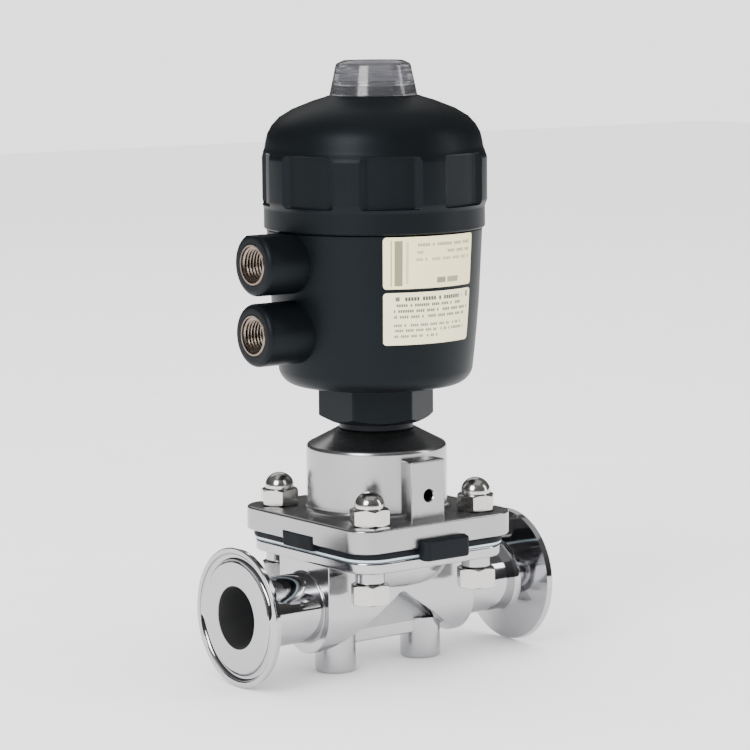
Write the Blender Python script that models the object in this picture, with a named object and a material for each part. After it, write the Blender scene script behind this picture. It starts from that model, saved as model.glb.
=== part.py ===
"""Pneumatic diaphragm valve, 1 inch hygienic size, with clamp ends and a piston actuator.

Frame: metres, +Z up, origin under the middle of the feet, X along the pipe.
Rest pose: valve closed, springs out, air ports towards -X.
"""
import math

import bmesh
import bpy
from mathutils import Matrix, Vector

MM = 0.001

# ---- driving dimensions -------------------------------------------------------
GAP = 0.3 * MM                  # clearance between faces that touch on the real valve
FACE_TO_FACE = 127.0 * MM       # over the two clamp faces
FERRULE_R = 25.25 * MM          # 50.5 mm clamp ferrule
TUBE_R = 12.7 * MM
BORE_R = 11.3 * MM
AXIS_Z = 25.4 * MM              # pipe axis above the feet

# body
HORN_HALF_X = 33.5 * MM         # where the cast middle meets the tubes
HORN_R = 15.2 * MM              # half width and bottom radius of its U section
HORN_DROP = 2.0 * MM            # the U's centre below the pipe axis
NOTCH_TOP = AXIS_Z + 4.2 * MM   # top of the V underneath
WEIR_Z = AXIS_Z + 7.5 * MM
BODY_FLANGE_HALF = (34.0 * MM, 37.0 * MM)
BODY_FLANGE_CORNER = 11.0 * MM
BODY_FLANGE_TOP = AXIS_Z + 21.0 * MM
BODY_FLANGE_BOTTOM = AXIS_Z + 16.5 * MM
FOOT_X = 19.65 * MM
FOOT_R = 7.5 * MM
WEB_HALF_Y = 4.0 * MM
WEB_BOTTOM = 9.8 * MM
BOWL_MOUTH_R = 20.0 * MM

# bolting
BOLT_X = 24.25 * MM
BOLT_Y = 27.7 * MM
BOLT_R = 4.0 * MM
BOSS_R = 5.3 * MM
BOSS_HEIGHT = 4.6 * MM
HEX_FLATS = 13.0 * MM
BOLT_HEAD_HEIGHT = 7.3 * MM

# bonnet
BONNET_HALF = (36.0 * MM, 38.5 * MM)
BONNET_CORNER = 9.5 * MM
BONNET_BOTTOM = AXIS_Z + 24.2 * MM
BONNET_FLANGE_TOP = AXIS_Z + 33.0 * MM
BONNET_NECK_R = 25.75 * MM
BONNET_SHOULDER = AXIS_Z + 57.6 * MM
BONNET_TOP = AXIS_Z + 62.6 * MM
TAB_NOTCH_TOP = BONNET_BOTTOM + 3.2 * MM
TAB_HALF = (9.2 * MM, 10.3 * MM)          # half width of the notch on the X and on the Y sides
TAB_NOTCH_DEPTH = 4.0 * MM
PAD_FACE_Y = -31.0 * MM
WEEP_Z = AXIS_Z + 41.3 * MM

# actuator
HEX_NECK_FLATS = 37.0 * MM
HEX_NECK_BOTTOM = AXIS_Z + 65.5 * MM
HOUSING_BOTTOM = AXIS_Z + 79.3 * MM
HOUSING_TOP = AXIS_Z + 136.1 * MM
HOUSING_R_LOW = 34.8 * MM
HOUSING_R_HIGH = 39.3 * MM
CYLINDER_R = 32.5 * MM
CYLINDER_FLOOR = HOUSING_BOTTOM + 6.0 * MM
SPIGOT_R = 36.0 * MM
SPIGOT_TOP = HOUSING_TOP + 7.0 * MM
PORT_FACE_X = -54.5 * MM
PORT_BOSS_R = 11.3 * MM
PORT_Z = (AXIS_Z + 125.8 * MM, AXIS_Z + 100.6 * MM)
CAP_BOTTOM = HOUSING_TOP + 0.4 * MM
CAP_LIP_R = 40.2 * MM
CAP_RIB_R = 41.2 * MM
CAP_RIB_Z = (AXIS_Z + 144.6 * MM, AXIS_Z + 163.2 * MM)
CAP_TOP = AXIS_Z + 184.0 * MM
CAP_CEILING = CAP_TOP - 12.4 * MM
RIB_COUNT = 8
LENS_R = 15.9 * MM
LENS_TOP = AXIS_Z + 196.6 * MM

# moving column
SPINDLE_R = 5.0 * MM
PISTON_Z = (131.0 * MM, 141.0 * MM)
SPINDLE_BOTTOM = 52.3 * MM
PIN_Z = 59.0 * MM

ROUND = 24                      # facets on the large turned pieces
SMALL = 12                      # facets on the small ones

STEEL = ("stainless_steel", (0.62, 0.62, 0.63), 0.22, 1.0)
POLISHED = ("polished_steel", (0.72, 0.72, 0.73), 0.08, 1.0)
BLACK = ("black_polyamide", (0.018, 0.020, 0.023), 0.42, 0.0)
RUBBER = ("black_rubber", (0.012, 0.013, 0.015), 0.7, 0.0)
PTFE = ("ptfe", (0.55, 0.66, 0.72), 0.45, 0.0)
ALUMINIUM = ("aluminium", (0.60, 0.61, 0.62), 0.35, 1.0)
SPRING_STEEL = ("spring_steel", (0.20, 0.21, 0.23), 0.4, 1.0)
BEARING = ("bearing_plastic", (0.50, 0.44, 0.30), 0.5, 0.0)
CLEAR = ("smoked_clear", (0.45, 0.46, 0.47), 0.1, 0.0)
SIGNAL = ("indicator_grey", (0.30, 0.31, 0.32), 0.45, 0.0)
PAPER = ("label_film", (0.78, 0.74, 0.58), 0.5, 0.0)


# ---- shaping tools --------------------------------------------------------------
def material(spec):
    name, colour, roughness, metallic = spec
    found = bpy.data.materials.get(name)
    if found:
        return found
    made = bpy.data.materials.new(name)
    made.use_nodes = True
    shader = made.node_tree.nodes["Principled BSDF"]
    shader.inputs["Base Color"].default_value = (*colour, 1.0)
    shader.inputs["Roughness"].default_value = roughness
    shader.inputs["Metallic"].default_value = metallic
    return made


def solid(name, shape, finish=None):
    """An object from a closed bmesh, faces turned outwards."""
    bmesh.ops.remove_doubles(shape, verts=shape.verts, dist=0.001 * MM)
    bmesh.ops.recalc_face_normals(shape, faces=shape.faces)
    mesh = bpy.data.meshes.new(name)
    shape.to_mesh(mesh)
    shape.free()
    made = bpy.data.objects.new(name, mesh)
    bpy.context.scene.collection.objects.link(made)
    if finish:
        mesh.materials.append(material(finish))
    return made


def turned(name, profile, finish=None, facets=SMALL, axis="Z", centre=(0.0, 0.0, 0.0), ring=False):
    """Spin (radius, height) points about an axis; a ring's profile closes on itself."""
    shape = bmesh.new()
    points = [shape.verts.new((radius, 0.0, height)) for radius, height in profile]
    for first, second in zip(points, points[1:]):
        shape.edges.new((first, second))
    if ring:
        shape.edges.new((points[-1], points[0]))
    bmesh.ops.spin(
        shape,
        geom=list(shape.verts) + list(shape.edges),
        cent=(0, 0, 0),
        axis=(0, 0, 1),
        angle=math.tau,
        steps=facets,
        use_merge=True,
    )
    bmesh.ops.remove_doubles(shape, verts=shape.verts, dist=0.001 * MM)
    for radius, height in (profile[0], profile[-1]):
        flat = abs(height - (profile[1] if (radius, height) == profile[0] else profile[-2])[1]) < 0.001 * MM
        if radius == 0 and flat:
            pole = min(shape.verts, key=lambda vert: (vert.co - Vector((0, 0, height))).length)
            bmesh.ops.dissolve_verts(shape, verts=[pole])
    turn = {
        "Z": Matrix(),
        "X": Matrix.Rotation(math.pi / 2, 4, "Y"),
        "Y": Matrix.Rotation(-math.pi / 2, 4, "X"),
    }
    bmesh.ops.transform(shape, matrix=Matrix.Translation(centre) @ turn[axis], verts=shape.verts)
    return solid(name, shape, finish)


def rod(name, radius, low, high, finish=None, facets=SMALL, axis="Z", centre=(0.0, 0.0, 0.0)):
    return turned(name, [(0, low), (radius, low), (radius, high), (0, high)], finish, facets, axis, centre)


def tube(name, inner, outer, low, high, finish=None, facets=SMALL):
    profile = [(inner, low), (outer, low), (outer, high), (inner, high)]
    return turned(name, profile, finish, facets, ring=True)


def prism(name, outline, low, high, finish=None, upright=False):
    """Extrude a flat outline in Z, or in Y when it is drawn upright in the X-Z plane."""
    shape = bmesh.new()
    if upright:
        corners = [shape.verts.new((x, low, z)) for x, z in outline]
        rise = Vector((0, high - low, 0))
    else:
        corners = [shape.verts.new((x, y, low)) for x, y in outline]
        rise = Vector((0, 0, high - low))
    face = shape.faces.new(corners)
    grown = bmesh.ops.extrude_face_region(shape, geom=[face])
    moved = [item for item in grown["geom"] if isinstance(item, bmesh.types.BMVert)]
    bmesh.ops.translate(shape, verts=moved, vec=rise)
    return solid(name, shape, finish)


def block(name, low, high, finish=None):
    outline = [(low[0], low[1]), (high[0], low[1]), (high[0], high[1]), (low[0], high[1])]
    return prism(name, outline, low[2], high[2], finish)


def arc(radius, start, end, steps, centre=(0.0, 0.0)):
    """Points on an arc, angles in degrees."""
    angles = [math.radians(start + (end - start) * step / steps) for step in range(steps + 1)]
    return [(centre[0] + radius * math.cos(a), centre[1] + radius * math.sin(a)) for a in angles]


def rounded_rectangle(half, corner, steps=5):
    outline = []
    for quadrant, (sx, sy) in enumerate(((1, 1), (-1, 1), (-1, -1), (1, -1))):
        middle = (sx * (half[0] - corner), sy * (half[1] - corner))
        outline += arc(corner, 90 * quadrant, 90 * quadrant + 90, steps, middle)
    return outline


def hexagon(flats, first_corner=0.0):
    return arc(flats / math.sqrt(3.0), first_corner, first_corner + 300, 5)


def boolean(target, tool, operation):
    """Join, cut or intersect for good, and drop the tool."""
    change = target.modifiers.new(operation.lower(), "BOOLEAN")
    change.operation = operation
    change.solver = "EXACT"
    change.object = tool
    bpy.context.view_layer.update()
    result = target.evaluated_get(bpy.context.evaluated_depsgraph_get())
    mesh = bpy.data.meshes.new_from_object(result)
    target.modifiers.clear()
    target.data = mesh
    bpy.data.objects.remove(tool, do_unlink=True)


def join(target, *tools):
    for tool in tools:
        boolean(target, tool, "UNION")


def cut(target, *tools):
    for tool in tools:
        boolean(target, tool, "DIFFERENCE")


def bolt_places():
    return [(sx * BOLT_X, sy * BOLT_Y) for sx, sy in ((-1, -1), (1, -1), (1, 1), (-1, 1))]


# ---- valve body -----------------------------------------------------------------
def ferrule_profile():
    """Clamp ferrule along its own axis: gasket groove, flat land, 20 degree back."""
    rim = 2.2 * MM
    slope = math.tan(math.radians(20.0))
    back = rim + (FERRULE_R - TUBE_R) * slope
    half = FACE_TO_FACE / 2
    groove_depth = 1.2 * MM
    neck_r = TUBE_R + 0.4 * MM
    neck_low = half - back - 1 * MM
    neck = [(0, neck_low), (neck_r, neck_low), (neck_r, half - back)]
    outer = [(FERRULE_R, half - rim), (FERRULE_R, half - 0.4 * MM), (FERRULE_R - 0.4 * MM, half)]
    groove = [(23.2 * MM, half), (22.4 * MM, half - groove_depth), (21.0 * MM, half - groove_depth),
              (20.2 * MM, half)]
    return neck + outer + groove + [(0, half)]


def make_clamp_ends():
    """The two clamp stubs that are welded to the casting."""
    axis = (0, 0, AXIS_Z)
    for place, side in (("1", -1), ("2", 1)):
        tube_ends = (HORN_HALF_X + GAP, FACE_TO_FACE / 2 - 1 * MM)
        outline = [(0, tube_ends[0]), (TUBE_R, tube_ends[0]), (TUBE_R, tube_ends[1]), (0, tube_ends[1])]
        stub = turned(f"clamp_stub_{place}", [(r, side * h) for r, h in outline], POLISHED, ROUND, "X", axis)
        ferrule = [(r, side * h) for r, h in ferrule_profile()]
        join(stub, turned("ferrule", ferrule, None, ROUND, "X", axis))
        cut(stub, rod("bore", BORE_R, -FACE_TO_FACE, FACE_TO_FACE, None, ROUND // 2, "X", axis))


def make_body():
    bottom = AXIS_Z - HORN_DROP
    section = arc(HORN_R, 180, 360, 16, (0.0, bottom))
    section += [(HORN_R, BODY_FLANGE_BOTTOM + 1 * MM), (-HORN_R, BODY_FLANGE_BOTTOM + 1 * MM)]
    body = prism("valve_body", section, -HORN_HALF_X, HORN_HALF_X, POLISHED, upright=True)
    body.data.transform(Matrix.Rotation(math.pi / 2, 4, "Z"))
    ramp_end = 31.0 * MM
    floor = AXIS_Z - HORN_DROP - HORN_R
    wedge = [(-ramp_end - 4 * MM, floor - 2 * MM), (ramp_end + 4 * MM, floor - 2 * MM), (ramp_end, floor),
             (0.0, NOTCH_TOP), (-ramp_end, floor)]
    cut(body, prism("v_notch", wedge, -20 * MM, 20 * MM, upright=True))

    web_top = NOTCH_TOP + 4 * MM
    web = [(-FOOT_X, WEB_BOTTOM), (FOOT_X, WEB_BOTTOM), (FOOT_X, AXIS_Z - 8 * MM), (2 * MM, web_top),
           (-2 * MM, web_top), (-FOOT_X, AXIS_Z - 8 * MM)]
    join(body, prism("web", web, -WEB_HALF_Y, WEB_HALF_Y, upright=True))
    for side in (-1, 1):
        outline = [(0, 0), (FOOT_R - 0.6 * MM, 0), (FOOT_R, 0.6 * MM), (FOOT_R, AXIS_Z - 10 * MM),
                   (0, AXIS_Z - 10 * MM)]
        join(body, turned("foot", outline, centre=(side * FOOT_X, 0, 0)))

    flange = prism("flange", rounded_rectangle(BODY_FLANGE_HALF, BODY_FLANGE_CORNER),
                   BODY_FLANGE_BOTTOM, BODY_FLANGE_TOP)
    join(body, flange)
    into_flange = BODY_FLANGE_BOTTOM + 1 * MM
    outline = [(0, AXIS_Z + 6 * MM), (16 * MM, AXIS_Z + 6 * MM), (24.5 * MM, AXIS_Z + 13 * MM),
               (25.5 * MM, into_flange), (0, into_flange)]
    join(body, turned("bowl_outside", outline, None, ROUND))
    for x, y in bolt_places():
        boss = rod("boss", BOSS_R, BODY_FLANGE_BOTTOM - BOSS_HEIGHT, into_flange, centre=(x, y, 0))
        join(body, boss)

    # the flow way: two straight bores, two climbing ones and the bowl they open into
    climb = math.radians(35.0)
    inner = 29.0 * MM
    axis = (0, 0, AXIS_Z)
    way = rod("way", BORE_R, inner, FACE_TO_FACE, None, ROUND // 2, "X", axis)
    join(way, rod("other_bore", BORE_R, -FACE_TO_FACE, -inner, None, ROUND // 2, "X", axis))
    for side in (1, -1):
        slant = rod("slant", 10.6 * MM, -2.0 * MM, 26.0 * MM, None, ROUND // 2)
        lean = Matrix.Rotation(side * (climb - math.pi / 2), 4, "Y")
        slant.data.transform(Matrix.Translation((side * 32.0 * MM, 0, AXIS_Z)) @ lean)
        join(way, slant)
    join(way, bowl("bowl", 0.0))
    cut(body, way)
    for x, y in bolt_places():
        cut(body, rod("hole", BOLT_R + GAP, 0.0, 60 * MM, centre=(x, y, 0)))
    return body


def bowl_centre_and_radius():
    """Sphere that passes the weir's top and the bowl's mouth."""
    depth = BODY_FLANGE_TOP - WEIR_Z
    radius = (BOWL_MOUTH_R ** 2 + depth ** 2) / (2 * depth)
    return WEIR_Z + radius, radius


def bowl(name, inset, top=52.0 * MM):
    """The bowl's sphere moved inwards by inset, as a plug with a flat top."""
    centre, radius = bowl_centre_and_radius()
    radius -= inset
    reach = math.degrees(math.asin((centre - top) / radius))
    profile = arc(radius, -90, -reach, 6, (0.0, centre))
    profile[0] = (0.0, centre - radius)
    return turned(name, profile + [(0.0, top)], None, ROUND)


# ---- bolts and nuts ---------------------------------------------------------------
def make_bolting():
    head_top = BODY_FLANGE_BOTTOM - BOSS_HEIGHT - GAP
    nut_base = BONNET_FLANGE_TOP + GAP
    nut_bore_top = nut_base + 9.4 * MM
    for number, (x, y) in enumerate(bolt_places(), 1):
        head_low = head_top - BOLT_HEAD_HEIGHT
        bolt = prism(f"flange_bolt_{number}", hexagon(HEX_FLATS), head_low, head_top, STEEL)
        join(bolt, rod("shank", BOLT_R, head_top - 1 * MM, nut_bore_top - GAP))
        bolt.data.transform(Matrix.Translation((x, y, 0)))

        hex_height = 6.0 * MM
        dome_r = 5.4 * MM
        nut = prism(f"cap_nut_{number}", hexagon(HEX_FLATS), nut_base, nut_base + hex_height, STEEL)
        dome_low, dome_rise = nut_base + 7.0 * MM, 5.0 * MM
        dome = [(0.0, nut_base + 1 * MM), (dome_r, nut_base + 1 * MM), (dome_r, dome_low)]
        dome += [(dome_r * math.cos(turn), dome_low + dome_rise * math.sin(turn)) for turn in (0.5, 1.0)]
        dome += [(0.0, dome_low + dome_rise)]
        join(nut, turned("dome", dome))
        cut(nut, rod("thread", BOLT_R + GAP, nut_base - 1 * MM, nut_bore_top))
        nut.data.transform(Matrix.Translation((x, y, 0)))


# ---- diaphragm --------------------------------------------------------------------
def make_diaphragm():
    plate_half = (BODY_FLANGE_HALF[0] + 0.4 * MM, BODY_FLANGE_HALF[1] + 0.2 * MM)
    outline = rounded_rectangle(plate_half, BODY_FLANGE_CORNER)
    facing_z = (BODY_FLANGE_TOP + GAP, BODY_FLANGE_TOP + 0.9 * MM)
    rubber_z = (facing_z[1] + GAP, BONNET_BOTTOM - GAP)

    facing = prism("diaphragm_facing", outline, facing_z[0], facing_z[1], PTFE)
    join(facing, bowl("dish", GAP, (facing_z[0] + facing_z[1]) / 2))
    cut(facing, bowl("hollow", facing_z[1] - BODY_FLANGE_TOP))

    rubber = prism("diaphragm", outline, rubber_z[0], rubber_z[1], RUBBER)
    join(rubber, bowl("dish", rubber_z[0] - BODY_FLANGE_TOP, (rubber_z[0] + rubber_z[1]) / 2))
    cut(rubber, bowl("hollow", 3.4 * MM))
    for side in (-1, 1):
        tab_y = prism("tab", rounded_rectangle((TAB_HALF[1] - GAP, 2.6 * MM), 1.2 * MM, 2),
                      BODY_FLANGE_TOP - 1.2 * MM, TAB_NOTCH_TOP - GAP)
        tab_y.data.transform(Matrix.Translation((0, side * (plate_half[1] + 0.2 * MM + 2.6 * MM), 0)))
        bridge = block("bridge", (-TAB_HALF[1] + GAP, -2.9 * MM, rubber_z[0]),
                       (TAB_HALF[1] - GAP, 2.9 * MM, TAB_NOTCH_TOP - GAP))
        bridge.data.transform(Matrix.Translation((0, side * plate_half[1], 0)))
        tab_x = block("tab", (-2.0 * MM, -TAB_HALF[0] + GAP, rubber_z[0]),
                      (2.0 * MM, TAB_HALF[0] - GAP, TAB_NOTCH_TOP - GAP))
        tab_x.data.transform(Matrix.Rotation(0.0 if side > 0 else math.pi, 4, "Z"))
        tab_x.data.transform(Matrix.Translation((side * plate_half[0], 0, 0)))
        join(rubber, tab_y, bridge, tab_x)
    head_pocket = rod("pocket", 5.3 * MM, WEIR_Z + 2.4 * MM, WEIR_Z + 8 * MM)
    cut(rubber, head_pocket)
    for x, y in bolt_places():
        cut(facing, rod("hole", BOLT_R + GAP, 40 * MM, 60 * MM, centre=(x, y, 0)))
        cut(rubber, rod("hole", BOLT_R + GAP, 40 * MM, 60 * MM, centre=(x, y, 0)))

    stud_bottom = WEIR_Z + 2.4 * MM + GAP
    stud_head, stud_top = stud_bottom + 1.0 * MM, stud_bottom + 14 * MM
    stud = [(0, stud_bottom), (5.0 * MM, stud_bottom), (5.0 * MM, stud_head), (3.0 * MM, stud_head),
            (3.0 * MM, stud_top), (0, stud_top)]
    turned("diaphragm_stud", stud, STEEL)


# ---- bonnet -----------------------------------------------------------------------
def make_bonnet():
    outline = rounded_rectangle(BONNET_HALF, BONNET_CORNER)
    bonnet = prism("bonnet", outline, BONNET_BOTTOM, BONNET_FLANGE_TOP, STEEL)
    fillet = 2.0 * MM
    neck = [(0, BONNET_BOTTOM + 4 * MM), (BONNET_NECK_R + fillet, BONNET_BOTTOM + 4 * MM),
            (BONNET_NECK_R + fillet, BONNET_FLANGE_TOP)]
    neck += [(BONNET_NECK_R + fillet + dx, BONNET_FLANGE_TOP + fillet + dz)
             for dx, dz in arc(fillet, 270, 180, 3)[1:]]
    neck += arc(1.6 * MM, 0, 68, 4, (BONNET_NECK_R - 1.6 * MM, BONNET_SHOULDER - 1.6 * MM))
    neck += [(15.2 * MM, BONNET_TOP - 0.6 * MM), (14.4 * MM, BONNET_TOP), (0, BONNET_TOP)]
    join(bonnet, turned("neck", neck, None, ROUND))
    pad_half = 7.6 * MM
    join(bonnet, block("pad", (-pad_half, PAD_FACE_Y, BONNET_BOTTOM + 5 * MM),
                       (pad_half, -20 * MM, AXIS_Z + 54.2 * MM)))

    chamber_top = BONNET_SHOULDER - 4.0 * MM
    cut(bonnet, rod("chamber", 20.6 * MM, BONNET_BOTTOM - 1 * MM, chamber_top, None, ROUND))
    cut(bonnet, rod("thread", 12.3 * MM, chamber_top - 1 * MM, BONNET_TOP + 1 * MM, None, SMALL))
    cut(bonnet, rod("weep", 2.2 * MM, -40 * MM, -15 * MM, None, 12, "Y", (0, 0, WEEP_Z)))
    for x, y in bolt_places():
        cut(bonnet, rod("hole", BOLT_R + GAP, 40 * MM, 70 * MM, centre=(x, y, 0)))
    for side in (-1, 1):
        low = BONNET_BOTTOM - 1 * MM
        inner_x = BONNET_HALF[0] - TAB_NOTCH_DEPTH
        inner_y = BONNET_HALF[1] - TAB_NOTCH_DEPTH - 0.6 * MM
        reach = 10 * MM
        x_ends = sorted((side * inner_x, side * (inner_x + reach)))
        y_ends = sorted((side * inner_y, side * (inner_y + reach)))
        cut(bonnet, block("notch", (x_ends[0], -TAB_HALF[0], low), (x_ends[1], TAB_HALF[0], TAB_NOTCH_TOP)))
        cut(bonnet, block("notch", (-TAB_HALF[1], y_ends[0], low), (TAB_HALF[1], y_ends[1], TAB_NOTCH_TOP)))
    return bonnet


def make_adapter():
    """Threaded steel nipple that carries the actuator, with the spindle's guide bush in it."""
    low = BONNET_SHOULDER - 3.6 * MM
    collar_low = BONNET_TOP + GAP
    collar_high = HEX_NECK_BOTTOM - GAP
    high = HEX_NECK_BOTTOM + 9.0 * MM
    profile = [(8.1 * MM, low), (12.0 * MM, low), (12.0 * MM, collar_low), (13.6 * MM, collar_low),
               (13.6 * MM, collar_high), (12.0 * MM, collar_high), (12.0 * MM, high), (8.1 * MM, high)]
    turned("adapter_nipple", profile, STEEL, ring=True)
    tube("spindle_bush", SPINDLE_R + GAP, 7.8 * MM, low + GAP, high - 3.0 * MM, BEARING)
    tube("wiper_ring", SPINDLE_R + GAP, 7.8 * MM, high - 2.6 * MM, high - 0.2 * MM, RUBBER)


# ---- moving column ------------------------------------------------------------------
def make_column():
    sphere_z, sphere_r = bowl_centre_and_radius()
    sphere_r -= 3.4 * MM + GAP
    side_r = 16.0 * MM
    reach = math.degrees(math.acos(side_r / sphere_r))
    neck_r = 9.0 * MM
    profile = arc(sphere_r, -90, -reach, 6, (0.0, sphere_z))
    profile[0] = (0.0, sphere_z - sphere_r)
    top = 64.0 * MM
    profile += [(side_r, 54.0 * MM), (neck_r + 2.0 * MM, 56.0 * MM), (neck_r, 58.0 * MM), (neck_r, top),
                (0.0, top)]
    compressor = turned("compressor", profile, STEEL, ROUND)
    cut(compressor, rod("stud_bore", 3.3 * MM, 0.0, 60 * MM))
    cut(compressor, rod("stud_head", 5.3 * MM, 0.0, WEIR_Z + 4.0 * MM))
    cut(compressor, rod("socket", SPINDLE_R + GAP, SPINDLE_BOTTOM - GAP, 70 * MM))
    pin_r = 1.5 * MM
    cut(compressor, rod("pin_hole", pin_r + GAP, -20 * MM, 20 * MM, None, 12, "Y", (0, 0, PIN_Z)))
    rod("compressor_pin", pin_r, -neck_r + 0.5 * MM, neck_r - 0.5 * MM, STEEL, 12, "Y", (0, 0, PIN_Z))

    shoulder = PISTON_Z[0] - GAP
    stem_r = 4.0 * MM
    stem_top = PISTON_Z[1] + 9.5 * MM
    spindle = turned("spindle", [(0, SPINDLE_BOTTOM), (SPINDLE_R, SPINDLE_BOTTOM), (SPINDLE_R, shoulder),
                                 (stem_r, shoulder), (stem_r, stem_top), (0, stem_top)], STEEL)
    cut(spindle, rod("pin_hole", pin_r + GAP, -20 * MM, 20 * MM, None, 12, "Y", (0, 0, PIN_Z)))

    low, high = PISTON_Z
    piston_r = CYLINDER_R - 0.5 * MM
    hub_r = 10.0 * MM
    profile = [(stem_r + GAP, low), (hub_r, low), (hub_r, low + 3.0 * MM), (24.0 * MM, low + 3.0 * MM),
               (26.0 * MM, low), (piston_r, low), (piston_r, low + 2.4 * MM), (28.6 * MM, low + 2.4 * MM),
               (28.6 * MM, low + 5.6 * MM), (piston_r, low + 5.6 * MM), (piston_r, low + 7.0 * MM),
               (30.4 * MM, low + 7.0 * MM), (30.4 * MM, low + 9.0 * MM), (piston_r, low + 9.0 * MM),
               (piston_r, high), (stem_r + GAP, high)]
    turned("piston", profile, ALUMINIUM, ROUND, ring=True)
    ring_r = CYLINDER_R - 0.25 * MM
    tube("piston_seal", 28.9 * MM, ring_r, low + 2.7 * MM, low + 5.3 * MM, RUBBER, ROUND)
    tube("piston_guide_ring", 30.7 * MM, ring_r, low + 7.3 * MM, low + 8.7 * MM, BEARING, ROUND)
    seat = [(stem_r + GAP, high + GAP), (29.0 * MM, high + GAP), (29.0 * MM, high + 3.0 * MM),
            (28.0 * MM, high + 3.0 * MM), (28.0 * MM, high + 1.5 * MM), (stem_r + GAP, high + 1.5 * MM)]
    turned("spring_seat", seat, STEEL, ROUND, ring=True)

    nut_low = high + 1.8 * MM
    nut = prism("piston_nut", hexagon(HEX_FLATS), nut_low, nut_low + 6.0 * MM, STEEL)
    cut(nut, rod("thread", stem_r + GAP, nut_low - 1 * MM, nut_low + 7 * MM))

    rod_r = 3.0 * MM
    head_r = 7.0 * MM
    head_low = CAP_TOP - 2.6 * MM
    profile = [(0, stem_top + GAP), (stem_r, stem_top + GAP), (stem_r, stem_top + 4 * MM),
               (rod_r, stem_top + 5 * MM), (rod_r, head_low), (head_r, head_low),
               (head_r, head_low + 4.0 * MM), (head_r - 0.8 * MM, head_low + 4.8 * MM),
               (0, head_low + 4.8 * MM)]
    turned("position_indicator", profile, SIGNAL)


# ---- actuator -----------------------------------------------------------------------
def make_housing():
    low, high = HOUSING_BOTTOM, HOUSING_TOP
    corner = 6.0 * MM
    outer = [(0, low)]
    outer += [(r, z) for r, z in arc(corner, -90, -6, 4, (HOUSING_R_LOW - corner, low + corner))]
    outer += [(37.1 * MM, AXIS_Z + 100.6 * MM), (38.6 * MM, AXIS_Z + 124.0 * MM), (HOUSING_R_HIGH, high),
              (0, high)]
    spigot = [(0, high - 2 * MM), (SPIGOT_R, high - 2 * MM), (SPIGOT_R, high + 2.4 * MM),
              (SPIGOT_R - 2.0 * MM, high + 2.4 * MM), (SPIGOT_R - 2.0 * MM, high + 4.8 * MM),
              (SPIGOT_R, high + 4.8 * MM), (SPIGOT_R, SPIGOT_TOP), (0, SPIGOT_TOP)]
    housing = turned("lower_housing", outer, BLACK, ROUND)
    join(housing, prism("hex_neck", hexagon(HEX_NECK_FLATS, 30.0), HEX_NECK_BOTTOM, low + 2 * MM))
    edge = 2.0 * MM
    for z in PORT_Z:
        profile = [(0, -PORT_FACE_X), (PORT_BOSS_R - edge, -PORT_FACE_X)]
        profile += arc(edge, 90, 0, 3, (PORT_BOSS_R - edge, -PORT_FACE_X - edge))[1:]
        profile += [(PORT_BOSS_R, 34.0 * MM), (0, 34.0 * MM)]
        boss = turned("boss", [(r, -h) for r, h in profile], None, ROUND, "X", (0, 0, z))
        room_low = (-60 * MM, -20 * MM, high - 0.1 * MM)
        cut(boss, block("lip_room", room_low, (-30 * MM, 20 * MM, high + 10 * MM)))
        join(housing, boss)
    join(housing, turned("spigot", spigot, None, ROUND))
    cut(housing, rod("cylinder", CYLINDER_R, CYLINDER_FLOOR, SPIGOT_TOP + 1 * MM, None, ROUND))
    cut(housing, rod("nipple_thread", 12.3 * MM, HEX_NECK_BOTTOM - 1 * MM, HEX_NECK_BOTTOM + 9.6 * MM))
    cut(housing, rod("seal_bore", 8.4 * MM, HEX_NECK_BOTTOM + 9.0 * MM, CYLINDER_FLOOR + 1 * MM))
    for z in PORT_Z:
        outside, seat_x, inside = PORT_FACE_X - 1 * MM, PORT_FACE_X + 12.3 * MM, -29.0 * MM
        way = [(0, outside), (7.7 * MM, outside), (7.7 * MM, seat_x), (2.2 * MM, seat_x), (2.2 * MM, inside),
               (0, inside)]
        cut(housing, turned("air_way", way, None, SMALL, "X", (0, 0, z)))
    seal_low = HEX_NECK_BOTTOM + 10.2 * MM
    tube("spindle_seal", SPINDLE_R + GAP, 8.1 * MM, seal_low, seal_low + 4.0 * MM, RUBBER)
    tube("seal_retainer", SPINDLE_R + GAP, 8.1 * MM, seal_low + 4.4 * MM, CYLINDER_FLOOR - GAP, STEEL)

    for place, z in zip(("upper", "lower"), PORT_Z):
        insert = [(5.9 * MM, PORT_FACE_X - 0.2 * MM), (7.4 * MM, PORT_FACE_X - 0.2 * MM),
                  (7.4 * MM, PORT_FACE_X + 12.0 * MM), (5.9 * MM, PORT_FACE_X + 12.0 * MM)]
        turned(f"port_insert_{place}", insert, STEEL, SMALL, "X", (0, 0, z), ring=True)

    ring_z = high + 3.6 * MM
    section = arc(0.9 * MM, 0, 270, 3, (SPIGOT_R - 0.9 * MM + 0.15 * MM, ring_z))
    turned("housing_o_ring", section, RUBBER, ROUND, ring=True)


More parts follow.
